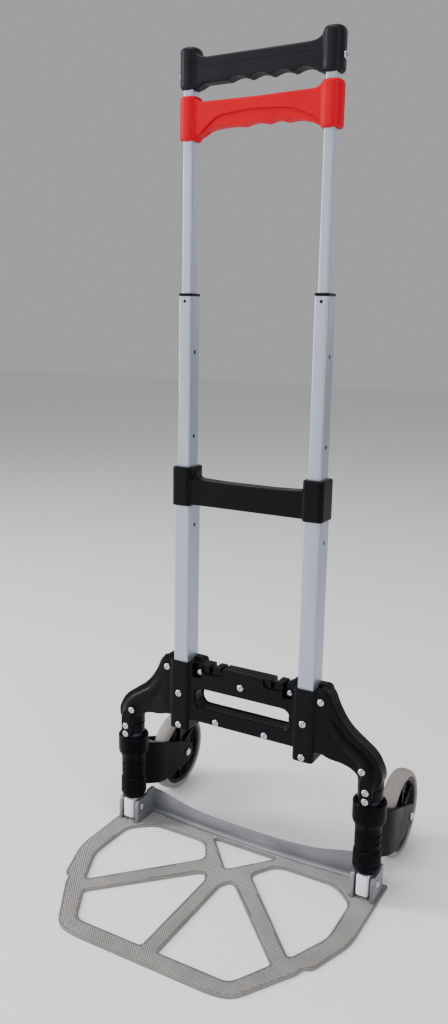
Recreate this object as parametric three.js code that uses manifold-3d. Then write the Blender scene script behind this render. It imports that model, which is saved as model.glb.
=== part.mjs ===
// A folding hand truck: a cast toe plate that hinges up, two wheels that swing in under the frame,
// and a handle that slides down in two stages.
//
// Units are millimetres and +Z is up. X runs across the truck, and Y from the toe plate's front
// edge back to the wheels. Each piece is drawn with Y = 0 in the middle plane of the tubes. The
// last lines move the whole truck so that its origin is on the floor, in the middle of its length.

import * as THREE from 'three';
import { mergeVertices } from 'three/addons/utils/BufferGeometryUtils.js';
import Module from 'manifold-3d';

const wasm = await Module();
wasm.setup();

// ---------------------------------------------------------------- driving dimensions

const HEIGHT = 993; // floor to the top of the handle
const GAP = 0.3; // between pieces that touch
const SLIDE_GAP = 0.4; // between pieces that slide or turn on each other

const PLATE_HALF_WIDTH = 192;
const PLATE_FRONT = -240.5;
const PLATE_REAR = 31;
const PLATE_THICKNESS = 3;
const RIM = 24; // width of the plate's front rim

const PIVOT_Y = -1.5; // axis that the toe plate folds about
const PIVOT_Z = 22.7;
const PIVOT_PIN_RADIUS = 3;

const WHEEL_RADIUS = 57.5;
const TYRE_BORE_RADIUS = 49;
const TYRE_HALF_WIDTH = 11;
const AXLE_Y = 112.5;
const AXLE_RADIUS = 4;
const FORK_INNER = 13.5; // from the wheel's middle plane to the fork's cheeks
const FORK_OUTER = 19.5;

const LEG_X = 172.6;
const LEG_TUBE_RADIUS = 11;
const LEG_TUBE_WALL = 1.3;
const LEG_TUBE_BOTTOM = 45;
const LEG_TUBE_TOP = 166;
const BOOT_BOTTOM = 37.5;
const BOOT_TOP = 131;
const LEG_COLLAR_BOTTOM = 134;
const ARM_BOTTOM = 149; // lower end of the frame's two arms
const ARM_RADIUS = 16;

const TUBE_X = 88.5; // middle of each telescopic tube
const LOWER_TUBE = { width: 21, depth: 28, wall: 1.5, bottom: 166, top: 508 };
const MIDDLE_TUBE = { width: 16.5, depth: 22, wall: 1.3, bottom: 428, top: 718 };
const UPPER_TUBE = { width: 12.5, depth: 15.5, wall: 1.2, bottom: 643, top: 970 };
const LOCK_HOLE_RADIUS = 2.6;
const LOCK_PIN_RADIUS = 2.1;
const LOWER_LOCK_Z = 437.5; // holes that the middle stage locks in
const UPPER_LOCK_Z = 651.8; // holes that the upper stage locks in
const SPARE_HOLE_Z = 549.7; // a second height for the upper stage

const FRAME_HALF_DEPTH = 13;
const SLEEVE_HALF_DEPTH = 17.5;
const RECESS_FRONT = -5; // thinner ground beside the hook notches
const SLEEVE_INNER_X = 74.8;
const SLEEVE_OUTER_X = 102.5;
const SLEEVE_TOP = 257;
const BOSS_BOTTOM = 163.4;
const SLOT = { halfWidth: 68, bottom: 197, top: 224 }; // carrying slot in the frame

const CROSS_BAR = { bottom: 463, top: 512, halfDepth: 17, innerX: 75.5, outerX: 102 };

const POST_HALF_WIDTH = 12; // posts of both handles, around the upper tubes
const POST_HALF_DEPTH = 13;
const GRIP_HALF_DEPTH = 9;
const RELEASE = { bottom: 892.5, top: 941, rodTop: 908, travel: 6.5 };

const SCREW_HEAD_RADIUS = 4.5;
const SCREW_HEAD_HEIGHT = 2.4;
const SCREW_RADIUS = 1.8;
const SCREW_HOLE_RADIUS = 2.2;

const SIDES = [['left', -1], ['right', 1]];

// ---------------------------------------------------------------- materials

function finish(colour, roughness, metalness) {
  return new THREE.MeshStandardMaterial({ color: colour, roughness, metalness, flatShading: true });
}

const materials = {
  blackPlastic: finish(0x1d1e20, 0.5, 0),
  redPlastic: finish(0xe01f26, 0.42, 0),
  anodisedTube: finish(0xc0c5d2, 0.38, 0.85),
  castAluminium: finish(0xa09c97, 0.55, 0.8),
  zincSteel: finish(0xd9dadf, 0.3, 0.95),
  whiteNylon: finish(0xeeeeec, 0.55, 0),
  hubPlastic: finish(0x17181a, 0.5, 0),
  greyRubber: finish(0xa9a39c, 0.8, 0),
};

// ---------------------------------------------------------------- solids and meshes

/** Turns a closed geometry into a solid, merging its corners and dropping faces with no area. */
function solid(geometry) {
  const bare = geometry.clone();
  bare.deleteAttribute('normal');
  bare.deleteAttribute('uv');
  const merged = mergeVertices(bare);
  const corners = merged.index.array;
  const faces = [];
  for (let i = 0; i < corners.length; i += 3) {
    const [a, b, c] = corners.slice(i, i + 3);
    if (a !== b && b !== c && c !== a) faces.push(a, b, c);
  }
  return new wasm.Manifold(new wasm.Mesh({
    numProp: 3,
    vertProperties: merged.attributes.position.array,
    triVerts: new Uint32Array(faces),
  }));
}

function geometryOf(shape) {
  const { vertProperties, triVerts } = shape.getMesh();
  const geometry = new THREE.BufferGeometry();
  geometry.setAttribute('position', new THREE.BufferAttribute(vertProperties, 3));
  geometry.setIndex(new THREE.BufferAttribute(triVerts, 1));
  return geometry;
}

function piece(name, shape, material, x = 0, y = 0, z = 0) {
  const mesh = new THREE.Mesh(geometryOf(shape), material);
  mesh.name = name;
  mesh.position.set(x, y, z);
  return mesh;
}

function joined(shapes) {
  return shapes.reduce((whole, shape) => whole.add(shape));
}

function cut(shape, cutters) {
  return cutters.reduce((rest, cutter) => rest.subtract(cutter), shape);
}

function box([x0, x1], [y0, y1], [z0, z1]) {
  const geometry = new THREE.BoxGeometry(x1 - x0, y1 - y0, z1 - z0);
  return solid(geometry.translate((x0 + x1) / 2, (y0 + y1) / 2, (z0 + z1) / 2));
}

/** A rod along one axis, from one place on that axis to another, through a centre. */
function rod(axis, radius, [from, to], [x, y, z], segments = 12) {
  const geometry = new THREE.CylinderGeometry(radius, radius, to - from, segments);
  geometry.translate(0, (from + to) / 2, 0);
  if (axis === 'x') geometry.rotateZ(-Math.PI / 2);
  if (axis === 'z') geometry.rotateX(Math.PI / 2);
  return solid(geometry.translate(x, y, z));
}

/** A shape turned about Z from a closed profile of [radius, height] points. */
function turned(profile, segments = 20) {
  const points = profile.map(([radius, height]) => new THREE.Vector2(radius, height));
  if (profile[0][0] !== 0) points.push(points[0].clone());
  return solid(new THREE.LatheGeometry(points, segments).rotateX(Math.PI / 2));
}

/** An outline whose corners are [x, y] or [x, y, radius]: a radius rounds its corner off. */
function roundedOutline(corners, OutlineType = THREE.Shape) {
  const outline = new OutlineType();
  const count = corners.length;
  corners.forEach(([x, y, radius = 0], i) => {
    const corner = new THREE.Vector2(x, y);
    const before = new THREE.Vector2(...corners[(i + count - 1) % count].slice(0, 2));
    const after = new THREE.Vector2(...corners[(i + 1) % count].slice(0, 2));
    const towards = (point) => {
      const reach = point.clone().sub(corner);
      return corner.clone().add(reach.setLength(Math.min(radius, reach.length() / 2)));
    };
    const [start, end] = [towards(before), towards(after)];
    if (i === 0) outline.moveTo(start.x, start.y);
    else outline.lineTo(start.x, start.y);
    if (radius > 0) outline.quadraticCurveTo(x, y, end.x, end.y);
  });
  outline.closePath();
  return outline;
}

function extruded(outline, depth) {
  return new THREE.ExtrudeGeometry(outline, { depth, curveSegments: 2, bevelEnabled: false });
}

/** A slab seen from above: its outline is in X and Y. */
function slabFromAbove(corners, [z0, z1], holes = []) {
  const outline = roundedOutline(corners);
  outline.holes = holes.map((hole) => roundedOutline(hole, THREE.Path));
  return solid(extruded(outline, z1 - z0).translate(0, 0, z0));
}

/** A slab seen from the front: its outline is in X and Z. */
function slabFromFront(corners, [y0, y1]) {
  const geometry = extruded(roundedOutline(corners), y1 - y0);
  return solid(geometry.rotateX(Math.PI / 2).translate(0, y1, 0));
}

/** A slab seen from the side: its outline is in Y and Z. */
function slabFromSide(corners, [x0, x1]) {
  const geometry = extruded(roundedOutline(corners), x1 - x0);
  geometry.rotateZ(Math.PI / 2).rotateY(Math.PI / 2);
  return solid(geometry.translate(x0, 0, 0));
}

/** A half outline on the +X side, carried on round its mirror image. */
function mirrored(half) {
  const other = half.map(([x, ...rest]) => [-x, ...rest]).reverse();
  return [...half, ...other];
}

function mirroredHole(hole, side) {
  return hole.map(([x, ...rest]) => [side * x, ...rest]);
}

/** A box with rounded upright edges, centred on an upright line at x. */
function post(width, depth, [z0, z1], radius = 0, x = 0) {
  const [low, high, y] = [x - width / 2, x + width / 2, depth / 2];
  const corners = [[high, -y], [high, y], [low, y], [low, -y]];
  return slabFromAbove(corners.map((corner) => [...corner, radius]), [z0, z1]);
}

// ---------------------------------------------------------------- screws

function screwShape(length) {
  return turned([
    [0, -length],
    [SCREW_RADIUS, -length],
    [SCREW_RADIUS, 0],
    [SCREW_HEAD_RADIUS, 0],
    [SCREW_HEAD_RADIUS - 0.6, 1.6],
    [0, SCREW_HEAD_HEIGHT],
  ], 8);
}

/** A screw driven in from the front, with its head standing on the face at y. */
function frontScrew(name, x, y, z, length) {
  const screw = piece(name, screwShape(length), materials.zincSteel, x, y - GAP, z);
  screw.rotation.x = Math.PI / 2;
  return screw;
}

// ---------------------------------------------------------------- toe plate

const CHEEK_THICKNESS = 5;
const CHEEK_INNER = 10.5; // from the leg's axis to the faces that the leg end hinges between

const plateHalfOutline = [
  [PLATE_HALF_WIDTH, PLATE_REAR, 3],
  [PLATE_HALF_WIDTH, -95, 14],
  [171, -153],
  [162, -157, 2],
  [158.5, -168],
  [116, -235, 14],
  [92, PLATE_FRONT, 10],
].reverse();

const sideWindow = [
  [34, -37, 9],
  [50, -8, 12],
  [64, -2.5, 4],
  [134, -2.5, 12],
  [163, -27, 10],
  [164.5, -98, 10],
  [140.5, -151, 6],
].reverse();

const frontWindow = [
  [11, -76, 5],
  [19, -63, 5],
  [27, -67, 4],
  [128, -170, 4],
  [105, -211, 8],
  [97, PLATE_FRONT + RIM, 5],
  [11, PLATE_FRONT + RIM, 4],
].reverse();

const hubWindow = [[-46, 10.5, 4], [46, 10.5, 4], [2, -41, 3], [-2, -41, 3]];

/** The bowed wall along the plate's rear edge, lowest in the middle. */
function upstand() {
  const [middleY, endY, endX] = [21.6, 28.4, 157];
  const stations = Array.from({ length: 13 }, (_, i) => -endX + (i * endX) / 6);
  const bow = (x) => middleY + (endY - middleY) * (x / endX) ** 2;
  const wall = 3;
  const plan = [
    ...stations.map((x) => [x, bow(x)]),
    ...stations.reverse().map((x) => [x, bow(x) + wall]),
  ];
  const frontView = mirrored([[endX, 0], [endX, 36.5], [143, 36.5, 8], [95, 27, 20], [60, 24, 10]]);
  return slabFromAbove(plan, [0, 40]).intersect(slabFromFront(frontView, [0, 40]));
}

/** One upright of the hinge, seen from the side: round over the pin, higher behind it. */
function hingeCheek(x0, rearY) {
  const top = PIVOT_Z + 12;
  const profile = [
    [-13.5, 0],
    [rearY, 0],
    [rearY, 39, 3],
    [17, 39, 2],
    [12, 35.3, 3],
    [PIVOT_Y, top, 5],
    [-13.5, top, 9],
  ];
  return slabFromSide(profile, [x0, x0 + CHEEK_THICKNESS]);
}

function toePlate() {
  const windows = SIDES.flatMap(([, side]) => [
    mirroredHole(sideWindow, side),
    mirroredHole(frontWindow, side),
  ]);
  const plate = slabFromAbove(mirrored(plateHalfOutline), [0, PLATE_THICKNESS], [...windows, hubWindow]);
  const cheeks = SIDES.flatMap(([, side]) => {
    const [inner, outer] = [LEG_X - CHEEK_INNER - CHEEK_THICKNESS, LEG_X + CHEEK_INNER];
    return [
      hingeCheek(side > 0 ? inner : -inner - CHEEK_THICKNESS, 31),
      hingeCheek(side > 0 ? outer : -outer - CHEEK_THICKNESS, 20),
    ];
  });
  const pinHole = rod('x', PIVOT_PIN_RADIUS + GAP, [-200, 200], [0, PIVOT_Y, PIVOT_Z]);
  return joined([plate, upstand(), ...cheeks]).subtract(pinHole);
}

function pivotPin() {
  const [headRadius, headHeight] = [4.6, 2];
  const reach = CHEEK_INNER + CHEEK_THICKNESS + GAP;
  return turned([
    [0, -reach - headHeight],
    [headRadius, -reach - headHeight],
    [headRadius, -reach],
    [PIVOT_PIN_RADIUS, -reach],
    [PIVOT_PIN_RADIUS, reach],
    [headRadius, reach],
    [headRadius, reach + headHeight],
    [0, reach + headHeight],
  ], 12);
}

// ---------------------------------------------------------------- legs, drawn about a leg's axis

function legTube() {
  const inner = LEG_TUBE_RADIUS - LEG_TUBE_WALL;
  const tube = turned([
    [LEG_TUBE_RADIUS, LEG_TUBE_BOTTOM],
    [LEG_TUBE_RADIUS, LEG_TUBE_TOP],
    [inner, LEG_TUBE_TOP],
    [inner, LEG_TUBE_BOTTOM],
  ]);
  return cut(tube, LEG_SCREW_Z.map((z) => rod('y', SCREW_HOLE_RADIUS, [-20, 0], [0, 0, z], 8)));
}

/** Ring between the frame's arm and the wheel bracket, flat where the frame's tab covers it. */
function legCollar() {
  const [radius, bore, top] = [15.5, LEG_TUBE_RADIUS + GAP, ARM_BOTTOM - GAP];
  const ring = turned([
    [radius, LEG_COLLAR_BOTTOM],
    [radius, top],
    [bore, top],
    [bore, LEG_COLLAR_BOTTOM],
  ]);
  const flatHalfWidth = TAB_HALF_WIDTH + GAP;
  const flat = box(
    [-flatHalfWidth, flatHalfWidth],
    [-20, TAB_BACK + GAP],
    [LEG_COLLAR_BOTTOM - 1, top + 1]);
  const holes = LEG_SCREW_Z.map((z) => rod('y', SCREW_HOLE_RADIUS, [-20, 0], [0, 0, z], 8));
  return cut(ring, [flat, ...holes]);
}

/** Nylon end that plugs into the leg tube and hinges between the toe plate's uprights. */
function legEnd() {
  const [halfWidth, sweepRadius, frontY, backY] = [7, 18.6, -15, 10];
  const blockTop = BOOT_BOTTOM - 0.9;
  const hingeZone = rod('x', sweepRadius, [-20, 20], [0, PIVOT_Y, PIVOT_Z], 28)
    .add(box([-20, 20], [frontY, backY], [PIVOT_Z, blockTop]));
  const block = box([-halfWidth, halfWidth], [frontY, backY], [0, blockTop]).intersect(hingeZone);
  const plugRadius = LEG_TUBE_RADIUS - LEG_TUBE_WALL - GAP;
  const neckRadius = CHEEK_INNER - 0.6; // passes between the uprights as they turn
  const plug = turned([
    [0, blockTop - 1],
    [neckRadius, blockTop - 1],
    [neckRadius, LEG_TUBE_BOTTOM - GAP],
    [plugRadius, LEG_TUBE_BOTTOM - GAP],
    [plugRadius, 76],
    [0, 76],
  ]);
  const pinHole = rod('x', PIVOT_PIN_RADIUS + SLIDE_GAP, [-20, 20], [0, PIVOT_Y, PIVOT_Z]);
  return block.add(plug).subtract(pinHole);
}

// ---------------------------------------------------------------- wheel bracket and wheel

/** Ribbed boot that turns on the leg tube, with a fork for the wheel behind it. */
function wheelBracket() {
  const bore = LEG_TUBE_RADIUS + SLIDE_GAP;
  const boot = turned([
    [bore, BOOT_BOTTOM],
    [14, BOOT_BOTTOM],
    [17.4, 45],
    [17.4, 65],
    [15.8, 68],
    [16.4, 71],
    [16.4, 96],
    [20.8, 106],
    [20.8, BOOT_TOP],
    [17, BOOT_TOP],
    [17, 127],
    [bore, 127],
  ]);
  const sideView = [
    [0, 118, 3],
    [119, 72.5, 14],
    [AXLE_Y + 16, WHEEL_RADIUS + 4, 8],
    [AXLE_Y + 13, WHEEL_RADIUS - 12, 8],
    [AXLE_Y, WHEEL_RADIUS - 17, 8],
    [54, 37.8, 9],
    [36, 41.5, 6],
    [0, 54],
  ];
  const planView = mirrored([[11, 2], [12.5, 13], [FORK_OUTER, 38, 8], [FORK_OUTER, 135]].reverse());
  const crotch = slabFromAbove(
    mirrored([[9, 40, 6], [FORK_INNER, 50, 4], [FORK_INNER, 140]].reverse()), [0, 140]);
  const fork = slabFromSide(sideView, [-25, 25])
    .intersect(slabFromAbove(planView, [0, 140]))
    .subtract(crotch);
  const legBore = rod('z', bore, [20, 127], [0, 0, 0], 20);
  const topCup = rod('z', 17, [127, 140], [0, 0, 0], 20);
  const axleHole = rod('x', AXLE_RADIUS + GAP, [-30, 30], [0, AXLE_Y, WHEEL_RADIUS]);
  return cut(boot.add(fork), [legBore, topCup, axleHole]);
}

function axle() {
  const [headRadius, headHeight] = [5.5, 1.6];
  const reach = FORK_OUTER + GAP;
  return turned([
    [0, -reach - headHeight],
    [headRadius, -reach - headHeight],
    [headRadius, -reach],
    [AXLE_RADIUS, -reach],
    [AXLE_RADIUS, reach],
    [headRadius, reach],
    [headRadius, reach + headHeight],
    [0, reach + headHeight],
  ], 12);
}

/** Hub with a rim, a thin disc, a boss on the axle and ribs between the boss and the rim. */
function wheelHub() {
  const [bore, bossRadius, bossHalf] = [AXLE_RADIUS + SLIDE_GAP, 12, 12.3];
  const [rimInner, rimOuter, rimHalf, discHalf] = [43.5, TYRE_BORE_RADIUS - GAP, 8.5, 2];
  const hub = turned([
    [bore, -bossHalf],
    [bossRadius, -bossHalf],
    [bossRadius, -discHalf],
    [rimInner, -discHalf],
    [rimInner, -rimHalf],
    [rimOuter, -rimHalf],
    [rimOuter, rimHalf],
    [rimInner, rimHalf],
    [rimInner, discHalf],
    [bossRadius, discHalf],
    [bossRadius, bossHalf],
    [bore, bossHalf],
  ], 24);
  const ribCount = 6;
  const ribs = Array.from({ length: ribCount }, (_, i) => {
    const geometry = new THREE.BoxGeometry(rimInner - bossRadius + 3, 3, 13);
    geometry.translate((rimInner + bossRadius) / 2, 0, 0).rotateZ((i * 2 * Math.PI) / ribCount);
    return solid(geometry);
  });
  return joined([hub, ...ribs]);
}

function tyre() {
  const half = TYRE_HALF_WIDTH;
  return turned([
    [TYRE_BORE_RADIUS, -half + 1.5],
    [51, -half],
    [55, -half + 1.5],
    [WHEEL_RADIUS, -4.5],
    [WHEEL_RADIUS, 4.5],
    [55, half - 1.5],
    [51, half],
    [TYRE_BORE_RADIUS, half - 1.5],
  ], 36);
}

// ---------------------------------------------------------------- frame shells

const TAB_HALF_WIDTH = 8.5; // tab that comes down over each leg collar
const TAB_FRONT = -18.5;
const TAB_BACK = -11.5;
const TAB_BOTTOM = 131.6;
const LEG_SCREW_Z = [147.7, 136.2];

const ELBOW_SCREW = { x: 165.5, z: 170.7 };
const ELBOW_SEAT = -14.5; // face of the small boss under each elbow screw

const frameHalfOutline = [
  [74.8, 177.5],
  [SLEEVE_INNER_X, BOSS_BOTTOM, 1],
  [103.5, BOSS_BOTTOM, 1],
  [110.9, 174.9, 2],
  [119, 174, 4],
  [144, 171, 14],
  [157, 163, 6],
  [LEG_X - ARM_RADIUS, ARM_BOTTOM],
  [LEG_X + ARM_RADIUS, ARM_BOTTOM],
  [189.9, 161, 8],
  [188.5, 172, 10],
  [178.5, 190.5, 10],
  [162, 202, 12],
  [141.7, 216.6, 14],
  [126.4, 238.5, 10],
  [120, 255, 6],
  [110.9, 262, 5],
  [104, 260, 2],
  [SLEEVE_OUTER_X, SLEEVE_TOP],
  [SLEEVE_INNER_X, SLEEVE_TOP],
  [63, 257, 2],
  [61, 254],
];

/** Where a frame screw ends: in the rear shell, or in the front wall of a lower tube. */
const SHELL_SCREW_TIP = 9;
const TUBE_SCREW_TIP = -12.6;
const TUBE_SCREW_Z = [213.8, 170];

/** Every screw in the frame's front: its name, its place, the face that it stands on and its tip. */
const frameScrews = [
  ['middle', 0, 239, -FRAME_HALF_DEPTH, SHELL_SCREW_TIP],
  ...SIDES.flatMap(([name, side]) => [
    [`shoulder_${name}`, side * 109.2, 244.9, -FRAME_HALF_DEPTH, SHELL_SCREW_TIP],
    [`notch_${name}`, side * 64.2, 243.5, RECESS_FRONT, SHELL_SCREW_TIP],
    [`beam_${name}`, side * 35.1, 183.2, -FRAME_HALF_DEPTH, SHELL_SCREW_TIP],
    [`elbow_${name}`, side * ELBOW_SCREW.x, ELBOW_SCREW.z, ELBOW_SEAT, SHELL_SCREW_TIP],
    [`sleeve_${name}`, side * TUBE_X, TUBE_SCREW_Z[0], -SLEEVE_HALF_DEPTH, TUBE_SCREW_TIP],
    [`boss_${name}`, side * TUBE_X, TUBE_SCREW_Z[1], -SLEEVE_HALF_DEPTH, TUBE_SCREW_TIP],
  ]),
];

/** A slanted notch that a bungee hook drops into, a cleft beside it and the thinner ground of both. */
function hookNotch(x) {
  const depth = [-30, 30];
  return [
    box([x - 11, x + 20], [-30, -6.5], [246.5, 270]),
    box([x - 11, x + 20], [5.5, 30], [246.5, 270]),
    slabFromFront([[x - 3, 262], [x - 1.5, 246, 1], [x + 2.5, 246, 1], [x + 6, 262]], depth),
    slabFromFront([[x + 13, 258], [x + 16, 250.5, 1], [x + 18.5, 258]], depth),
  ];
}

/** The frame as one body, before it is split into its front and rear shells. */
function wholeFrame() {
  const body = slabFromFront(mirrored(frameHalfOutline), [-FRAME_HALF_DEPTH, FRAME_HALF_DEPTH]);
  const sideParts = SIDES.flatMap(([, side]) => [
    box(
      side > 0 ? [SLEEVE_INNER_X, SLEEVE_OUTER_X] : [-SLEEVE_OUTER_X, -SLEEVE_INNER_X],
      [-SLEEVE_HALF_DEPTH, SLEEVE_HALF_DEPTH],
      [BOSS_BOTTOM, SLEEVE_TOP]),
    rod('z', ARM_RADIUS, [ARM_BOTTOM, 172], [side * LEG_X, 0, 0], 20),
    box(
      [side * LEG_X - TAB_HALF_WIDTH, side * LEG_X + TAB_HALF_WIDTH],
      [TAB_FRONT, TAB_BACK],
      [TAB_BOTTOM, 160]),
    rod('y', SCREW_HEAD_RADIUS + 1, [ELBOW_SEAT, 0], [side * ELBOW_SCREW.x, 0, ELBOW_SCREW.z]),
  ]);
  return joined([body, ...sideParts]);
}

/** Everything that is open in the frame: the slot, notches, tube sockets, pockets and screw holes. */
function frameCutters() {
  const { halfWidth, bottom, top } = SLOT;
  const end = (top - bottom) / 2;
  const slot = slabFromFront(
    mirrored([[halfWidth, bottom, end], [halfWidth, top, end]]), [-30, 30]);
  const pocket = [-9.5, 9.5];
  const beamPockets = [
    box([-26, 26], pocket, [180.5, 193.5]),
    ...[-1, 1].map((side) => box([side * 22 - 14, side * 22 + 14], pocket, [227.5, 243])),
  ];
  const armPocket = [
    [107, 181], [140, 176], [151, 184], [151, 200], [137, 209], [121, 231], [107, 231],
  ];
  const sideCutters = SIDES.flatMap(([, side]) => {
    const { width, depth, bottom: tubeBottom } = LOWER_TUBE;
    const [x, y] = [width / 2 + GAP, depth / 2 + GAP];
    return [
      box([side * TUBE_X - x, side * TUBE_X + x], [-y, y], [tubeBottom - GAP, 290]),
      rod('z', LEG_TUBE_RADIUS + GAP, [140, LEG_TUBE_TOP + GAP], [side * LEG_X, 0, 0], 20),
      slabFromFront(mirroredHole(armPocket, side), pocket),
      box([side * 64.2 - 7.4, side * 64.2 + 7], [-30, RECESS_FRONT], [236, 270]),
    ];
  });
  const screwHoles = frameScrews.map(([, x, z, , tip]) => (
    rod('y', SCREW_HOLE_RADIUS, [-30, tip + GAP], [x, 0, z], 8)));
  const elbowSeats = SIDES.map(([, side]) => (
    rod('y', SCREW_HEAD_RADIUS + GAP, [-30, ELBOW_SEAT], [side * ELBOW_SCREW.x, 0, ELBOW_SCREW.z])));
  const legScrewHoles = SIDES.flatMap(([, side]) => LEG_SCREW_Z.map((z) => (
    rod('y', SCREW_HOLE_RADIUS, [-30, 0], [side * LEG_X, 0, z], 8))));
  return [slot, ...hookNotch(-45), ...hookNotch(43), ...beamPockets, ...sideCutters,
    ...screwHoles, ...elbowSeats, ...legScrewHoles];
}

/** Raised lips of the rear shell, beside and behind each tube. */
function rearLips() {
  const outline = [[62, 250], [62, 259, 4], [113, 260.5, 4], [118, 250]];
  const [x, y] = [LOWER_TUBE.width / 2 + GAP, LOWER_TUBE.depth / 2 + GAP];
  return SIDES.map(([, side]) => {
    const lip = slabFromFront(mirroredHole(outline, side), [2, SLEEVE_HALF_DEPTH]);
    return lip.subtract(box([side * TUBE_X - x, side * TUBE_X + x], [-30, y], [240, 290]));
  });
}

function frameShells() {
  const cutters = frameCutters();
  const frame = wholeFrame();
  const front = cut(frame.intersect(box([-250, 250], [-40, -GAP / 2], [100, 300])), cutters);
  const rear = cut(
    joined([frame.intersect(box([-250, 250], [GAP / 2, 40], [100, 300])), ...rearLips()]), cutters);
  return { front, rear };
}

// ---------------------------------------------------------------- tubes, drawn about a tube's axis

function hollowTube({ width, depth, wall, bottom, top }, holes) {
  const tube = post(width, depth, [bottom, top]);
  const bore = post(width - 2 * wall, depth - 2 * wall, [bottom - 1, top + 1]);
  return cut(tube, [bore, ...holes]);
}

function lockHole(z) {
  return rod('x', LOCK_HOLE_RADIUS, [-20, 20], [0, 0, z], 8);
}

function lowerTube() {
  const screwHoles = TUBE_SCREW_Z.map((z) => rod('y', SCREW_HOLE_RADIUS, [-20, 0], [0, 0, z], 8));
  return hollowTube(LOWER_TUBE, [lockHole(LOWER_LOCK_Z), ...screwHoles]);
}

const COLLAR_NUB_Z = 712; // catch of the top collar, in a hole in the tube's front
const COLLAR_NUB_RADIUS = 2.2;

function middleTube() {
  const nubHole = rod('y', COLLAR_NUB_RADIUS + GAP, [-15, 0], [0, 0, COLLAR_NUB_Z], 8);
  return hollowTube(MIDDLE_TUBE,
    [lockHole(LOWER_LOCK_Z), lockHole(SPARE_HOLE_Z), lockHole(UPPER_LOCK_Z), nubHole]);
}

/** Upper tube, slotted at the back where the release rod comes out to the release handle. */
function upperTube() {
  const [low, high] = [RELEASE.rodTop - 5.5, RELEASE.rodTop + RELEASE.travel + 1];
  const slot = box([-3, 3], [0, 20], [low, high]);
  const screwHoles = SIDES.map(([, side]) => handleScrewHole(side, 0));
  return hollowTube(UPPER_TUBE, [lockHole(UPPER_LOCK_Z), slot, ...screwHoles]);
}

/** Collar on top of the middle tube: a lip, two tongues inside the tube and a catch. */
function middleCollar() {
  const lipBottom = MIDDLE_TUBE.top + GAP;
  const opening = post(UPPER_TUBE.width + 2 * SLIDE_GAP, UPPER_TUBE.depth + 2 * SLIDE_GAP, [690, 730]);
  const tongueOuter = MIDDLE_TUBE.depth / 2 - MIDDLE_TUBE.wall - GAP;
  const tongues = box([-5.5, 5.5], [-tongueOuter, tongueOuter], [703, lipBottom + 1]);
  const nub = rod('y', COLLAR_NUB_RADIUS, [-MIDDLE_TUBE.depth / 2 - 0.3, -tongueOuter + 1],
    [0, 0, COLLAR_NUB_Z], 8);
  const lip = post(17.6, 23.2, [lipBottom, lipBottom + 3], 2);
  return joined([lip, tongues, nub]).subtract(opening);
}

/** Guide in the bottom of an inner tube: a foot that slides in the outer tube, with a plug above. */
function guide(inner, outer, lockZ, footHeight, plugTop) {
  const footMargin = 2 * (outer.wall + SLIDE_GAP);
  const plugMargin = 2 * (inner.wall + GAP);
  const footTop = inner.bottom - GAP;
  const foot = post(outer.width - footMargin, outer.depth - footMargin, [footTop - footHeight, footTop]);
  const plug = post(inner.width - plugMargin, inner.depth - plugMargin, [footTop - 1, plugTop]);
  const pinBore = rod('x', LOCK_PIN_RADIUS + SLIDE_GAP, [-20, 20], [0, 0, lockZ], 8);
  return foot.add(plug).subtract(pinBore);
}

/** Pin that locks one tube in the next. It ends just inside the outer tube's wall. */
function lockPin(outer, length) {
  const tip = outer.width / 2 - outer.wall - GAP;
  return [rod('x', LOCK_PIN_RADIUS, [-length / 2, length / 2], [0, 0, 0], 8), tip - length / 2];
}

const RELEASE_ROD_RADIUS = 2.2;

/** Rod inside the upper tube, with a foot bent back through the slot into the release handle. */
function releaseRod() {
  const radius = RELEASE_ROD_RADIUS;
  const upright = rod('z', radius, [UPPER_LOCK_Z + 12, RELEASE.rodTop], [0, 0, 0], 12);
  const foot = rod('y', radius, [-1, POST_HALF_DEPTH - 2 - GAP], [0, 0, RELEASE.rodTop - radius], 12);
  return upright.add(foot);
}

function crossBar() {
  const { bottom, top, halfDepth, innerX, outerX } = CROSS_BAR;
  const bar = slabFromFront(
    mirrored([[80, 465], [80, 499], [60, 497, 22], [30, 496.2]]), [-13.5, 9]);
  const collars = SIDES.map(([, side]) => {
    const middle = (side * (innerX + outerX)) / 2;
    return post(outerX - innerX, 2 * halfDepth, [bottom, top], 5, middle);
  });
  const cutters = SIDES.flatMap(([, side]) => {
    const [x, y] = [LOWER_TUBE.width / 2 + GAP, LOWER_TUBE.depth / 2 + GAP];
    const [passX, passY] = [MIDDLE_TUBE.width / 2 + SLIDE_GAP, MIDDLE_TUBE.depth / 2 + SLIDE_GAP];
    const centre = side * TUBE_X;
    return [
      box([centre - x, centre + x], [-y, y], [bottom - 1, LOWER_TUBE.top + GAP]),
      box([centre - passX, centre + passX], [-passY, passY], [bottom - 1, top + 1]),
    ];
  });
  return cut(joined([bar, ...collars]), cutters);
}

// ---------------------------------------------------------------- handles

const HANDLE_SCREW_Z = 964;

/** Hole for the screw that goes into one side of a tube and of the handle's post around it. */
function handleScrewHole(side, tubeX) {
  const reach = side > 0 ? [tubeX, tubeX + 20] : [tubeX - 20, tubeX];
  return rod('x', SCREW_HOLE_RADIUS, reach, [0, 0, HANDLE_SCREW_Z], 8);
}

function handlePost([z0, z1], side) {
  return post(2 * POST_HALF_WIDTH, 2 * POST_HALF_DEPTH, [z0, z1], 6, side * TUBE_X);
}

/** Space that an upper tube takes in a handle, with a gap all round. */
function tubeSocket(gap, [z0, z1], side) {
  return post(UPPER_TUBE.width + 2 * gap, UPPER_TUBE.depth + 2 * gap, [z0, z1], 0, side * TUBE_X);
}

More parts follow.
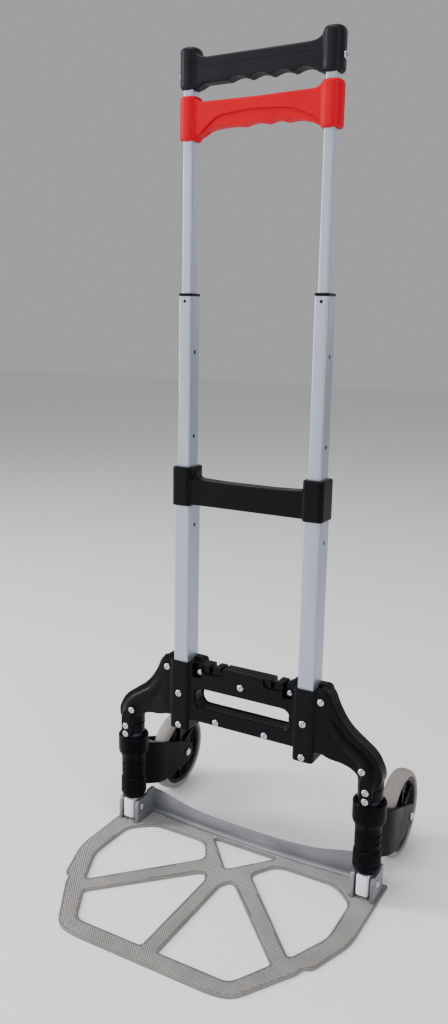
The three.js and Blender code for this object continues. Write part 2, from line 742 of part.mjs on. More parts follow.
/** Lower half of the top handle: two posts and a bar with waves for the fingers. */
function handleGrip() {
  const [barTop, barBottom, postBottom, postTop] = [970.5, 954, 947.5, 974];
  const [wavePitch, waveRadius, waveDepth] = [27, 22, 2.4];
  const waveCentres = [-24.5, 2.5, 29.5, 56.5];
  const waves = waveCentres.map((x) => (
    rod('y', waveRadius, [-20, 20], [x, 0, barBottom + waveDepth - waveRadius], 28)));
  const bar = slabFromFront([
    [-78, 951, 0],
    [-72, 953.5, 4],
    [-40, 953.5, 6],
    [waveCentres[0] - wavePitch / 2, 952.4],
    [waveCentres[3] + wavePitch / 2, 952.4],
    [78, 951],
    [78, barTop],
    [-78, barTop],
  ], [-GRIP_HALF_DEPTH, GRIP_HALF_DEPTH]);
  const posts = SIDES.map(([, side]) => handlePost([postBottom, postTop], side));
  const sockets = SIDES.flatMap(([, side]) => [
    tubeSocket(GAP, [900, postTop + 1], side),
    handleScrewHole(side, side * TUBE_X),
  ]);
  return cut(joined([cut(bar, waves), ...posts]), sockets);
}

/** Upper half of the top handle: the bar's back and two domed caps. */
function handleCap() {
  const [barBottom, postBottom] = [970.8, 974.3];
  const barTop = 981;
  const bar = slabFromFront(
    mirrored([[80, barBottom], [80, barTop + 2], [60, barTop, 12]]),
    [-GRIP_HALF_DEPTH, GRIP_HALF_DEPTH]);
  const domes = SIDES.map(([, side]) => {
    const [low, high] = [side * TUBE_X - POST_HALF_WIDTH, side * TUBE_X + POST_HALF_WIDTH];
    const outline = [[low, postBottom], [high, postBottom], [high, HEIGHT, 11], [low, HEIGHT, 11]];
    return slabFromFront(outline, [-POST_HALF_DEPTH, POST_HALF_DEPTH])
      .intersect(handlePost([900, 1000], side));
  });
  const clearance = SIDES.map(([, side]) => (
    box([side * TUBE_X - 13, side * TUBE_X + 13], [-20, 20], [960, postBottom])));
  return joined([cut(bar, clearance), ...domes]);
}

/** Release handle below the grip: two collars on the upper tubes, joined by an arched bar. */
function releaseHandle() {
  const { bottom, top, rodTop } = RELEASE;
  const bar = slabFromFront(mirrored([
    [0, 905.5],
    [38, 904.3, 40],
    [64, 900.5, 14],
    [79, 893],
    [79, top],
    [70, 933.5, 6],
    [30, 934],
  ].reverse()), [-GRIP_HALF_DEPTH, GRIP_HALF_DEPTH]);
  const collars = SIDES.map(([, side]) => handlePost([bottom, top], side));
  const cutters = SIDES.flatMap(([, side]) => [
    tubeSocket(SLIDE_GAP, [880, 960], side),
    rod('y', RELEASE_ROD_RADIUS + GAP, [0, POST_HALF_DEPTH - 2],
      [side * TUBE_X, 0, rodTop - RELEASE_ROD_RADIUS], 12),
  ]);
  return cut(joined([bar, ...collars]), cutters);
}

// ---------------------------------------------------------------- assembly

const truck = new THREE.Group();

function addFrame() {
  const { front, rear } = frameShells();
  truck.add(
    piece('frame_front_shell', front, materials.blackPlastic),
    piece('frame_rear_shell', rear, materials.blackPlastic),
    piece('cross_bar', crossBar(), materials.blackPlastic));
  for (const [name, x, z, face, tip] of frameScrews) {
    truck.add(frontScrew(`frame_screw_${name}`, x, face, z, tip - face + GAP));
  }
}

function addLeg(name, side) {
  const leg = new THREE.Group();
  leg.position.x = side * LEG_X;
  leg.add(
    piece(`leg_tube_${name}`, legTube(), materials.anodisedTube),
    piece(`leg_collar_${name}`, legCollar(), materials.blackPlastic),
    piece(`leg_end_${name}`, legEnd(), materials.whiteNylon),
    piece(`wheel_bracket_${name}`, wheelBracket(), materials.blackPlastic));
  LEG_SCREW_Z.forEach((z, i) => {
    leg.add(frontScrew(`leg_screw_${['upper', 'lower'][i]}_${name}`, 0, TAB_FRONT, z, 11));
  });
  const pin = piece(`pivot_pin_${name}`, pivotPin(), materials.zincSteel, 0, PIVOT_Y, PIVOT_Z);
  const wheel = new THREE.Group();
  wheel.position.set(0, AXLE_Y, WHEEL_RADIUS);
  wheel.rotation.y = Math.PI / 2;
  pin.rotation.y = Math.PI / 2;
  wheel.add(
    piece(`axle_${name}`, axle(), materials.zincSteel),
    piece(`wheel_hub_${name}`, wheelHub(), materials.hubPlastic),
    piece(`tyre_${name}`, tyre(), materials.greyRubber));
  leg.add(pin, wheel);
  truck.add(leg);
}

function addTubes(name, side) {
  const stack = new THREE.Group();
  stack.position.x = side * TUBE_X;
  const [middlePin, middlePinX] = lockPin(LOWER_TUBE, 7);
  const [upperPin, upperPinX] = lockPin(MIDDLE_TUBE, 6);
  stack.add(
    piece(`lower_tube_${name}`, lowerTube(), materials.anodisedTube),
    piece(`middle_tube_${name}`, middleTube(), materials.anodisedTube),
    piece(`middle_collar_${name}`, middleCollar(), materials.blackPlastic),
    piece(`middle_guide_${name}`, guide(MIDDLE_TUBE, LOWER_TUBE, LOWER_LOCK_Z, 10, 448),
      materials.blackPlastic),
    piece(`upper_tube_${name}`, upperTube(), materials.anodisedTube),
    piece(`upper_guide_${name}`, guide(UPPER_TUBE, MIDDLE_TUBE, UPPER_LOCK_Z, 10, 662),
      materials.blackPlastic),
    piece(`release_rod_${name}`, releaseRod(), materials.zincSteel),
    piece(`middle_lock_pin_${name}`, middlePin, materials.zincSteel, side * middlePinX, 0, LOWER_LOCK_Z),
    piece(`upper_lock_pin_${name}`, upperPin, materials.zincSteel, side * upperPinX, 0, UPPER_LOCK_Z));
  truck.add(stack);
}

function addHandles() {
  truck.add(
    piece('handle_grip', handleGrip(), materials.blackPlastic),
    piece('handle_cap', handleCap(), materials.blackPlastic),
    piece('release_handle', releaseHandle(), materials.redPlastic));
  for (const [name, side] of SIDES) {
    const x = side * (TUBE_X + POST_HALF_WIDTH + GAP);
    const screw = piece(
      `handle_screw_${name}`, screwShape(9), materials.zincSteel, x, 0, HANDLE_SCREW_Z);
    screw.rotation.y = (side * Math.PI) / 2;
    truck.add(screw);
  }
}

addFrame();
truck.add(piece('toe_plate', toePlate(), materials.castAluminium));
for (const [name, side] of SIDES) {
  addLeg(name, side);
  addTubes(name, side);
}
addHandles();

// The origin goes to the floor, halfway between the plate's front edge and the back of the wheels.
truck.position.y = -(PLATE_FRONT + AXLE_Y + WHEEL_RADIUS) / 2;

export default truck;
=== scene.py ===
"""Looks of a folding hand truck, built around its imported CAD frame.

Lengths below are millimetres, in a frame whose Y = 0 plane runs through the middle of the tubes.
A piece is made at full size in that frame, and place() takes it to the CAD frame, in metres.
"""

import math
from collections import namedtuple

import bmesh
import bpy
import numpy as np
from mathutils import Matrix, Vector
from mathutils.geometry import tessellate_polygon


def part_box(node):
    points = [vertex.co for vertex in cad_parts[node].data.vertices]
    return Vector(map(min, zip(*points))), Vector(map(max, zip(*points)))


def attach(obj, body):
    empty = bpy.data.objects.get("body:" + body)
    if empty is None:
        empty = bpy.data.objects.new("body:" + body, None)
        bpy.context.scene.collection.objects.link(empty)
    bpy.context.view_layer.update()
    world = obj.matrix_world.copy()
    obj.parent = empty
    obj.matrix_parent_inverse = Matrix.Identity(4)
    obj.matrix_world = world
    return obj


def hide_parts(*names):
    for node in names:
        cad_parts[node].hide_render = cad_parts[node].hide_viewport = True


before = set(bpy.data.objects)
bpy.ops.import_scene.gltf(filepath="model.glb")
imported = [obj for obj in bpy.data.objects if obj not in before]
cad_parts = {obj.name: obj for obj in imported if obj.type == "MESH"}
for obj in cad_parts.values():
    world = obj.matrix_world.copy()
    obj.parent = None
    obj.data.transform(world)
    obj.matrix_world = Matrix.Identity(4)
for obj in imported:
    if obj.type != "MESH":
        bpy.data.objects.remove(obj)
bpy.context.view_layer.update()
scene = bpy.context.scene

MM = 0.001
SIDES = (("left", -1), ("right", 1))
SHARP_ANGLE = math.radians(32)


def cad_box(node):
    """Lowest and highest corner of a CAD node, in millimetres, in the CAD frame."""
    low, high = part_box(node)
    return Vector(low) / MM, Vector(high) / MM


def cad_centre(node):
    low, high = cad_box(node)
    return (low + high) / 2


def cad_size(node):
    low, high = cad_box(node)
    return high - low


TUBE_X, TUBE_LINE_Y, _ = cad_centre("lower_tube_right")
LEG_X = cad_centre("leg_tube_right").x
AXLE_Y = cad_centre("tyre_right").y - TUBE_LINE_Y
TYRE_HALF_WIDTH, _, WHEEL_RADIUS = cad_size("tyre_right") / 2
HUB_RADIUS = cad_size("wheel_hub_right").z / 2
HEIGHT = cad_box("handle_cap")[1].z
PLATE_FRONT = cad_box("toe_plate")[0].y - TUBE_LINE_Y
PLATE_HALF_WIDTH = cad_size("toe_plate").x / 2
PIVOT_Y = cad_centre("pivot_pin_right").y - TUBE_LINE_Y
PIVOT_Z = cad_centre("pivot_pin_right").z


# -------------------- materials


def principled(name, colour, roughness, metallic=0.0):
    """A new material and its shader."""
    material = bpy.data.materials.new(name)
    material.use_nodes = True
    shader = material.node_tree.nodes["Principled BSDF"]
    shader.inputs["Base Color"].default_value = (*colour, 1)
    shader.inputs["Roughness"].default_value = roughness
    shader.inputs["Metallic"].default_value = metallic
    return material, shader


def noise(material, scale, detail, stretch=(1, 1, 1)):
    """Noise in object space, in features per metre, that can be drawn out along an axis."""
    nodes, links = material.node_tree.nodes, material.node_tree.links
    coordinates = nodes.new("ShaderNodeTexCoord")
    mapping = nodes.new("ShaderNodeMapping")
    mapping.inputs["Scale"].default_value = stretch
    texture = nodes.new("ShaderNodeTexNoise")
    texture.inputs["Scale"].default_value = scale
    texture.inputs["Detail"].default_value = detail
    links.new(coordinates.outputs["Object"], mapping.inputs["Vector"])
    links.new(mapping.outputs["Vector"], texture.inputs["Vector"])
    return texture.outputs["Fac"]


def vary(material, socket, factor, low, high, start=0.3, end=0.7):
    """Makes a socket of the shader follow a factor, between two values or two colours."""
    nodes, links = material.node_tree.nodes, material.node_tree.links
    node = nodes.new("ShaderNodeValToRGB")
    node.color_ramp.elements[0].position = start
    node.color_ramp.elements[1].position = end
    for element, value in zip(node.color_ramp.elements, (low, high)):
        element.color = (*value, 1) if isinstance(value, tuple) else (value, value, value, 1)
    links.new(factor, node.inputs["Fac"])
    links.new(node.outputs["Color"], nodes["Principled BSDF"].inputs[socket])


def grain(material, factor, strength):
    """Fine relief, a tenth of a millimetre high where strength is 1."""
    nodes, links = material.node_tree.nodes, material.node_tree.links
    node = nodes.new("ShaderNodeBump")
    node.inputs["Strength"].default_value = strength
    node.inputs["Distance"].default_value = 0.0001
    links.new(factor, node.inputs["Height"])
    links.new(node.outputs["Normal"], nodes["Principled BSDF"].inputs["Normal"])


def moulded_plastic(name, colour, light_colour, roughness, relief, gloss):
    """Moulded plastic: faint colour drift, uneven sheen and a fine spark-eroded grain."""
    material, shader = principled(name, colour, roughness[0])
    shader.inputs["Specular IOR Level"].default_value = gloss
    vary(material, "Base Color", noise(material, 14, 3), colour, light_colour)
    vary(material, "Roughness", noise(material, 60, 5), *roughness)
    grain(material, noise(material, 1400, 2), relief)
    return material


def anodised_aluminium():
    """Drawn tube: fine lengthwise lines under a satin anodised skin."""
    colour, light = (0.36, 0.39, 0.47), (0.41, 0.44, 0.52)
    material, _ = principled("anodised_tube", colour, 0.4, 0.75)
    vary(material, "Base Color", noise(material, 30, 4, (1, 1, 0.15)), colour, light)
    lines = noise(material, 900, 3, (1, 1, 0.01))
    vary(material, "Roughness", lines, 0.28, 0.42)
    grain(material, lines, 0.12)
    return material


def cast_aluminium(name, dark, light, roughness):
    """Die-cast aluminium: cloudy tone, dull skin and a sandy grain."""
    material, _ = principled(name, dark, roughness[0], 0.7)
    vary(material, "Base Color", noise(material, 22, 6), dark, light, 0.25, 0.75)
    vary(material, "Roughness", noise(material, 90, 4), *roughness)
    grain(material, noise(material, 1100, 3), 0.3)
    return material


def zinc_steel():
    """Zinc-plated steel: bright, with a cloudy sheen and a slightly uneven tone."""
    material, _ = principled("zinc_steel", (0.5, 0.51, 0.54), 0.25, 1.0)
    vary(material, "Roughness", noise(material, 300, 4), 0.16, 0.3)
    vary(material, "Base Color", noise(material, 120, 3), (0.46, 0.47, 0.51), (0.58, 0.58, 0.61))
    return material


def soft_rubber():
    """Grey tyre: matt, with a little dust in its tone and a fine pebbled skin."""
    dark, light = (0.235, 0.21, 0.195), (0.285, 0.26, 0.24)
    material, _ = principled("grey_rubber", dark, 0.7)
    vary(material, "Base Color", noise(material, 45, 6), dark, light)
    vary(material, "Roughness", noise(material, 25, 4), 0.55, 0.8)
    grain(material, noise(material, 1000, 2), 0.2)
    return material


DEEP_BLACK = (0.0015, 0.0018, 0.0025), (0.003, 0.0034, 0.0045)

# Darkest and lightest colour, roughness, relief and gloss.
PLASTICS = {
    "black_plastic": (*DEEP_BLACK, (0.25, 0.36), 0.2, 0.1),
    "grip_plastic": ((0.008, 0.0085, 0.0105), (0.012, 0.0125, 0.0155), (0.36, 0.48), 0.25, 0.1),
    "bracket_plastic": (*DEEP_BLACK, (0.3, 0.42), 0.2, 0.045),
    "hub_plastic": ((0.002, 0.002, 0.003), (0.004, 0.004, 0.005), (0.34, 0.48), 0.2, 0.17),
    "red_plastic": ((0.5, 0.0, 0.01), (0.56, 0.0, 0.013), (0.34, 0.45), 0.15, 0.05),
    "white_nylon": ((0.82, 0.83, 0.86), (0.88, 0.89, 0.92), (0.4, 0.55), 0.1, 0.4),
}

# Darkest and lightest colour, and roughness.
CASTINGS = {
    "cast_aluminium": ((0.20, 0.19, 0.18), (0.28, 0.265, 0.25), (0.45, 0.6)),
    "cast_stud": ((0.50, 0.485, 0.47), (0.6, 0.585, 0.57), (0.3, 0.42)),
    "cast_wall": ((0.21, 0.215, 0.24), (0.28, 0.285, 0.31), (0.34, 0.47)),
}

MATERIALS = {
    **{name: moulded_plastic(name, *look) for name, look in PLASTICS.items()},
    **{name: cast_aluminium(name, *look) for name, look in CASTINGS.items()},
    "tube_aluminium": anodised_aluminium(),
    "zinc_steel": zinc_steel(),
    "grey_tyre": soft_rubber(),
}


# -------------------- mesh tools


def new_object(name, data):
    made = bpy.data.objects.new(name, data)
    scene.collection.objects.link(made)
    return made


def tidy(mesh):
    """Merges doubled corners and turns every face outwards."""
    work = bmesh.new()
    work.from_mesh(mesh)
    bmesh.ops.remove_doubles(work, verts=work.verts, dist=1e-4)
    bmesh.ops.recalc_face_normals(work, faces=work.faces)
    work.to_mesh(mesh)
    work.free()


def from_faces(name, points, faces):
    mesh = bpy.data.meshes.new(name)
    mesh.from_pydata([tuple(p) for p in points], [], faces)
    tidy(mesh)
    return new_object(name, mesh)


def copy_of(made):
    return new_object("copy", made.data.copy())


def drop(made):
    bpy.data.objects.remove(made, do_unlink=True)


def evaluated_mesh(made):
    graph = bpy.context.evaluated_depsgraph_get()
    return bpy.data.meshes.new_from_object(made.evaluated_get(graph))


def applied(made):
    """The object with its modifiers made part of its mesh."""
    mesh = evaluated_mesh(made)
    made.modifiers.clear()
    made.data = mesh
    return made


def rounded(corners, steps=6):
    """Points of an outline whose corners are (x, y) or (x, y, radius)."""
    points = []
    for i, corner in enumerate(corners):
        here = Vector(corner[:2])
        radius = corner[2] if len(corner) > 2 else 0
        if not radius:
            points.append(here)
            continue
        reaches = (Vector(other[:2]) - here for other in (corners[i - 1], corners[(i + 1) % len(corners)]))
        start, end = (here + reach.normalized() * min(radius, reach.length / 2) for reach in reaches)
        for k in range(steps + 1):
            t = k / steps
            points.append(start * (1 - t) ** 2 + here * 2 * t * (1 - t) + end * t**2)
    befores = points[-1:] + points[:-1]
    return [point for point, before in zip(points, befores) if (point - before).length > 0.01]


def area(points):
    """Area of an outline, below zero where it runs clockwise."""
    return sum(a.x * b.y - b.x * a.y for a, b in zip(points, points[1:] + points[:1])) / 2


def inset(points, distance):
    """The outline moved inwards, or outwards where distance is negative.

    Points that pass each other on the way become one sharp corner.
    """
    turn = 1 if area(points) > 0 else -1
    moved = []
    for before, here, after in zip(points[-1:] + points[:-1], points, points[1:] + points[:1]):
        a, b = (here - before).normalized(), (after - here).normalized()
        normal = Vector((-(a + b).y, (a + b).x)).normalized() * turn
        lean = max(0.5, normal.dot(Vector((-a.y, a.x)) * turn))
        moved.append(here + normal * distance / lean)
    count = len(points)
    run = []  # neighbours that have passed each other so far
    for i in range(-count, count):
        j = i + 1 if i < count - 1 else -count
        run.append(i)
        if (moved[j] - moved[i]).dot(points[j] - points[i]) >= 0:
            if len(run) > 1:
                corner = sum((moved[k] for k in run), Vector((0, 0))) / len(run)
                for k in run:
                    moved[k] = corner
            run = []
    return moved


def mirrored(half):
    """A half outline on the +X side, carried on round its mirror image."""
    return half + [(-corner[0], *corner[1:]) for corner in reversed(half)]


PLANES = {
    "above": Matrix.Identity(4),
    "front": Matrix(((1, 0, 0, 0), (0, 0, -1, 0), (0, 1, 0, 0), (0, 0, 0, 1))),
    "side": Matrix(((0, 0, 1, 0), (1, 0, 0, 0), (0, 1, 0, 0), (0, 0, 0, 1))),
}


def slab(outline, low, high, seen_from="above", holes=(), edge=0.0, edge_steps=2):
    """A flat solid with rounded edges. Its outline and holes are lists of points."""
    loops = [outline if area(outline) > 0 else outline[::-1]]
    loops += [hole[::-1] if area(hole) > 0 else hole for hole in holes]
    if seen_from == "front":
        low, high = -high, -low
    bends = [math.pi / 2 * k / edge_steps for k in range(edge_steps + 1)] if edge else [math.pi / 2]
    levels = [(low + edge * (1 - math.cos(a)), edge * (1 - math.sin(a))) for a in bends]
    levels += [(high + low - z, depth) for z, depth in reversed(levels)]
    count = sum(len(loop) for loop in loops)
    points, faces = [], []
    for z, depth in levels:
        for number, loop in enumerate(loops):
            drawn = inset(loop, depth if number == 0 else -depth) if depth > 1e-6 else loop
            points += [Vector((p.x, p.y, z)) for p in drawn]
    for level in range(len(levels) - 1):
        start = level * count
        for loop in loops:
            for k in range(len(loop)):
                a, b = start + k, start + (k + 1) % len(loop)
                faces.append((a, b, b + count, a + count))
            start += len(loop)
    face_loops = []
    start = 0
    for loop in loops:
        face_loops.append(points[start:start + len(loop)])
        start += len(loop)
    last = (len(levels) - 1) * count
    for triangle in tessellate_polygon(face_loops):
        faces.append(tuple(triangle))
        faces.append(tuple(last + k for k in reversed(triangle)))
    made = from_faces("slab", points, faces)
    made.data.transform(PLANES[seen_from])
    return made


def front_slab(corners, low, high, steps=6, **edges):
    """A slab with rounded corners, drawn as seen from the front."""
    return slab(rounded(corners, steps), low, high, "front", **edges)


def rectangle(low, high, corner=0.0, steps=6):
    """Outline of a rectangle between two corners, with its own corners rounded."""
    return rounded([
        (low[0], low[1], corner), (high[0], low[1], corner), (high[0], high[1], corner),
        (low[0], high[1], corner)], steps)


def block(low, high):
    """A box between two corners."""
    return slab(rectangle(low, high), low[2], high[2])


def post(x, half_width, half_depth, low, high, corner, edge=0.0):
    """An upright block with rounded corners, centred on an upright line at x."""
    outline = rectangle((x - half_width, -half_depth), (x + half_width, half_depth), corner, 8)
    return slab(outline, low, high, edge=edge, edge_steps=4)


def turned(profile, segments, axis="z", at=(0, 0, 0)):
    """A solid of revolution from a profile of (radius, height) points."""
    on_axis = profile[0][0] == 0
    count = len(profile)
    points, faces = [], []
    for s in range(segments):
        angle = 2 * math.pi * s / segments
        points += [(r * math.cos(angle), r * math.sin(angle), h) for r, h in profile]
    for s in range(segments):
        here, there = s * count, ((s + 1) % segments) * count
        for k in range(count - 1 if on_axis else count):
            j = (k + 1) % count
            faces.append((here + k, there + k, there + j, here + j))
    made = from_faces("turned", points, faces)
    work = bmesh.new()
    work.from_mesh(made.data)
    bmesh.ops.dissolve_degenerate(work, dist=1e-5, edges=work.edges)
    work.to_mesh(made.data)
    work.free()
    if axis == "x":
        made.data.transform(Matrix.Rotation(math.pi / 2, 4, "Y"))
    if axis == "y":
        made.data.transform(Matrix.Rotation(math.pi / 2, 4, "X"))
    made.data.transform(Matrix.Translation(at))
    return made


def rod(radius, low, high, axis="z", at=(0, 0, 0), segments=32):
    return turned([(0, low), (radius, low), (radius, high), (0, high)], segments, axis, at)


def swept(path, radius):
    """A round bar along a path of points."""
    curve = bpy.data.curves.new("swept", "CURVE")
    curve.dimensions = "3D"
    curve.bevel_depth = radius
    curve.bevel_resolution = 8
    curve.use_fill_caps = True
    spline = curve.splines.new("POLY")
    spline.points.add(len(path) - 1)
    for point, place_at in zip(spline.points, path):
        point.co = (*place_at, 1)
    made = new_object("swept", curve)
    mesh = evaluated_mesh(made)
    drop(made)
    tidy(mesh)
    return new_object("swept", mesh)


def smooth_path(points, steps):
    """A Catmull-Rom curve through the points."""
    points = [Vector(point) for point in points]
    path = []
    ends = [points[0] * 2 - points[1], *points, points[-1] * 2 - points[-2]]
    for a, b, c, d in zip(ends, ends[1:], ends[2:], ends[3:]):
        for k in range(steps):
            t = k / steps
            path.append(0.5 * (
                2 * b + (c - a) * t + (2 * a - 5 * b + 4 * c - d) * t**2 + (3 * b - a - 3 * c + d) * t**3))
    return [*path, points[-1]]


def lofted(sections):
    """A solid through closed sections that all have the same number of points."""
    count = len(sections[0])
    faces = [tuple(reversed(range(count)))]
    for s in range(len(sections) - 1):
        for k in range(count):
            j = (k + 1) % count
            faces.append((s * count + k, s * count + j, (s + 1) * count + j, (s + 1) * count + k))
    last = (len(sections) - 1) * count
    faces.append(tuple(range(last, last + count)))
    return from_faces("lofted", [p for section in sections for p in section], faces)


def combined(operation, first, others):
    """Joins, cuts or intersects solids. The others are used up."""
    for other in others:
        modifier = first.modifiers.new("boolean", "BOOLEAN")
        modifier.operation = operation
        modifier.solver = "MANIFOLD"
        modifier.object = other
        applied(first)
        drop(other)
    return first


def union(first, *others):
    return combined("UNION", first, others)


def cut(first, *others):
    return combined("DIFFERENCE", first, others)


def common(first, *others):
    return combined("INTERSECT", first, others)


def melted(parts, voxel, passes=5):
    """Melts overlapping solids into one skin whose edges and joints are rounded."""
    first = parts[0]
    work = bmesh.new()
    for part in parts:
        work.from_mesh(part.data)
    work.to_mesh(first.data)
    work.free()
    for part in parts[1:]:
        drop(part)
    remesh = first.modifiers.new("remesh", "REMESH")
    remesh.mode = "VOXEL"
    remesh.voxel_size = voxel
    applied(first)
    soften = first.modifiers.new("soften", "SMOOTH")
    soften.factor = 0.5
    soften.iterations = passes
    return applied(first)


def place(made, name, body, material, node=None):
    """Takes a finished solid to the CAD frame, and puts it on its body in place of its CAD node."""
    made.data.transform(Matrix.Translation((0, TUBE_LINE_Y, 0)))
    made.data.transform(Matrix.Scale(MM, 4))
    made.name = f"v_{name}"
    made.data.name = made.name
    made.data.materials.clear()
    made.data.materials.append(MATERIALS[material])
    made.data.shade_smooth()
    made.data.set_sharp_from_angle(angle=SHARP_ANGLE)
    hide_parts(node or name)
    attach(made, body)


def limb(stations):
    """A round limb in the plane of the tubes, through (x, z, radius) stations."""
    segments = 36
    path = smooth_path(stations, 6)
    sections = []
    for before, here, after in zip([path[0], *path], path, [*path[1:], path[-1]]):
        along = Vector((after.x - before.x, 0, after.y - before.y)).normalized()
        across = Vector((along.z, 0, -along.x))
        centre = Vector((here.x, 0, here.y))
        sections.append([
            centre + here.z * (math.cos(a) * across + math.sin(a) * Vector((0, 1, 0)))
            for a in (2 * math.pi * k / segments for k in range(segments))])
    return lofted(sections)


def flipped(points, side):
    """Points that are given for the +X side, on either side."""
    return [(side * p[0], *p[1:]) for p in points]


# -------------------- screws

SCREW_HEAD_RADIUS = 4.5
SCREW_HEAD_HEIGHT = 2.4
SCREW_EDGE_HEIGHT = 0.7
SCREW_RADIUS = 1.8
SCREW_HOLE_RADIUS = 2.2
FACING_FRONT = Matrix.Rotation(math.pi / 2, 4, "X")


def screw(length):
    """A pan-head screw with a cross recess, standing along +Z with its head's seat at 0."""
    crown = SCREW_HEAD_HEIGHT - SCREW_EDGE_HEIGHT
    dome = [
        (SCREW_HEAD_RADIUS * math.cos(a), SCREW_EDGE_HEIGHT + crown * math.sin(a))
        for a in (math.radians(4 + 8.2 * k) for k in range(11))]
    made = turned([
        (0, -length), (SCREW_RADIUS * 0.6, -length), (SCREW_RADIUS, 0.8 - length), (SCREW_RADIUS, 0),
        (SCREW_HEAD_RADIUS - 0.2, 0), (SCREW_HEAD_RADIUS, 0.2), *dome, (0, SCREW_HEAD_HEIGHT)], 32)
    arms = union(
        block((-1.9, -0.42, 1.1), (1.9, 0.42, 3)), block((-0.42, -1.9, 1.1), (0.42, 1.9, 3)),
        rod(0.85, 0.9, 3))
    return cut(made, arms)


def place_screw(name, length, seat, turn, body="root"):
    """A screw with its head's seat at a point, and its cross turned by an angle of its own."""
    made = screw(length)
    spin = Matrix.Rotation(math.radians(17 * (sum(map(ord, name)) % 7)), 4, "Z")
    made.data.transform(Matrix.Translation(seat) @ turn @ spin)
    place(made, name, body, "zinc_steel")


def screw_hole(x, z, front=-20, back=0):
    return rod(SCREW_HOLE_RADIUS, front, back, "y", (x, 0, z), 24)


# -------------------- frame

FRAME_HALF_DEPTH = 13
SLEEVE_HALF_DEPTH = 17.5
SLEEVE_INNER_X, SLEEVE_OUTER_X = 74.8, 102.5
SLEEVE_TOP = 257
BOSS_BOTTOM = 163.4
RECESS_FRONT = -5
SEAM = 0.15
ARM_BOTTOM = 149
Tube = namedtuple("Tube", "half_width half_depth wall bottom top")
LOWER_TUBE = Tube(10.5, 14, 1.5, 166, 508)
MIDDLE_TUBE = Tube(8.25, 11, 1.3, 428, 718)
UPPER_TUBE = Tube(6.25, 7.75, 1.2, 643, 970)
GAP = 0.3
SLIDE_GAP = 0.4
LEG_TUBE_RADIUS = 11
LEG_TUBE_TOP = 166
LEG_SCREW_Z = (147.7, 136.2)
SLEEVE_SCREW_Z, BOSS_SCREW_Z = 213.8, 170
TAB_FRONT = -18.5
ELBOW_SEAT = -14.5
ELBOW = (165.5, 170.7)
SLOT_LIP_Y = 9.8
SLOT_LIP_RADIUS = 3.7

frame_half_outline = [
    (70, 177.5, 4), (112, 177.5, 6), (121, 174, 6), (146, 170.5, 14), (158, 163, 5), (160, 154, 4),
    (186, 154, 4), (189.5, 161, 8), (188.3, 172, 10), (178.3, 190.5, 10), (161.8, 202, 12),
    (141.5, 216.6, 14), (126.2, 238.5, 10), (119.6, 255, 6), (110.7, 261.5, 5), (102, 257.5, 4),
    (80, 256.5, 4), (66, 256.5, 4),
]
slot_outline = [(-68, 197, 15), (68, 197, 15), (68, 224, 13), (-68, 224, 13)]
slot_lip_half = [
    (0, -SLOT_LIP_Y, 194.6), (52, -SLOT_LIP_Y, 194.6), (64, -SLOT_LIP_Y, 196.6), (69.8, -SLOT_LIP_Y, 205),
    (69.5, -9.5, 216)]
arm_stations = [
    (100, 249, 10), (112, 236, 12), (121, 221.5, 12.9), (134.5, 203.5, 12.9), (151, 192, 12.9),
    (163, 183.5, 13.2), (170.3, 172.5, 14.6), (172.6, 161, 15.8), (172.6, ARM_BOTTOM, 15.8),
]
thin_arm = [(112, -13.4), (136, -9.9), (200, -9.9), (200, -25), (112, -25)]
tab_outline = [
    (TAB_FRONT, 131.8, 3), (-11.6, 131.8, 2), (-11.6, 162, 2), (-14, 168, 4), (TAB_FRONT, 160, 4)]


def hook_cutters(x):
    """A slanted notch that a bungee hook drops into, the cleft beside it and the thinner ground of both."""
    thin = [
        (x - 12, 272), (x - 12, 249, 3), (x - 7, 245.5, 3), (x + 8, 245.5, 2), (x + 20.5, 249, 3),
        (x + 20.5, 272)]
    return [
        front_slab([(x - 3.6, 264), (x - 1.6, 246, 1.4), (x + 2.6, 246, 1.4), (x + 6.4, 264)], -30, 30),
        front_slab([(x + 12.2, 262), (x + 15.6, 250.3, 1), (x + 19.4, 262)], -30, 30),
        front_slab(thin, -30, -10.4),
        front_slab(thin, 10.4, 30),
    ]


def sleeve(side):
    """The upright block that holds a tube."""
    low, high = sorted((side * SLEEVE_INNER_X, side * SLEEVE_OUTER_X))
    outline = rectangle((low, -SLEEVE_HALF_DEPTH), (high, SLEEVE_HALF_DEPTH), 5, 8)
    return slab(outline, BOSS_BOTTOM, SLEEVE_TOP, edge=1.6, edge_steps=3)


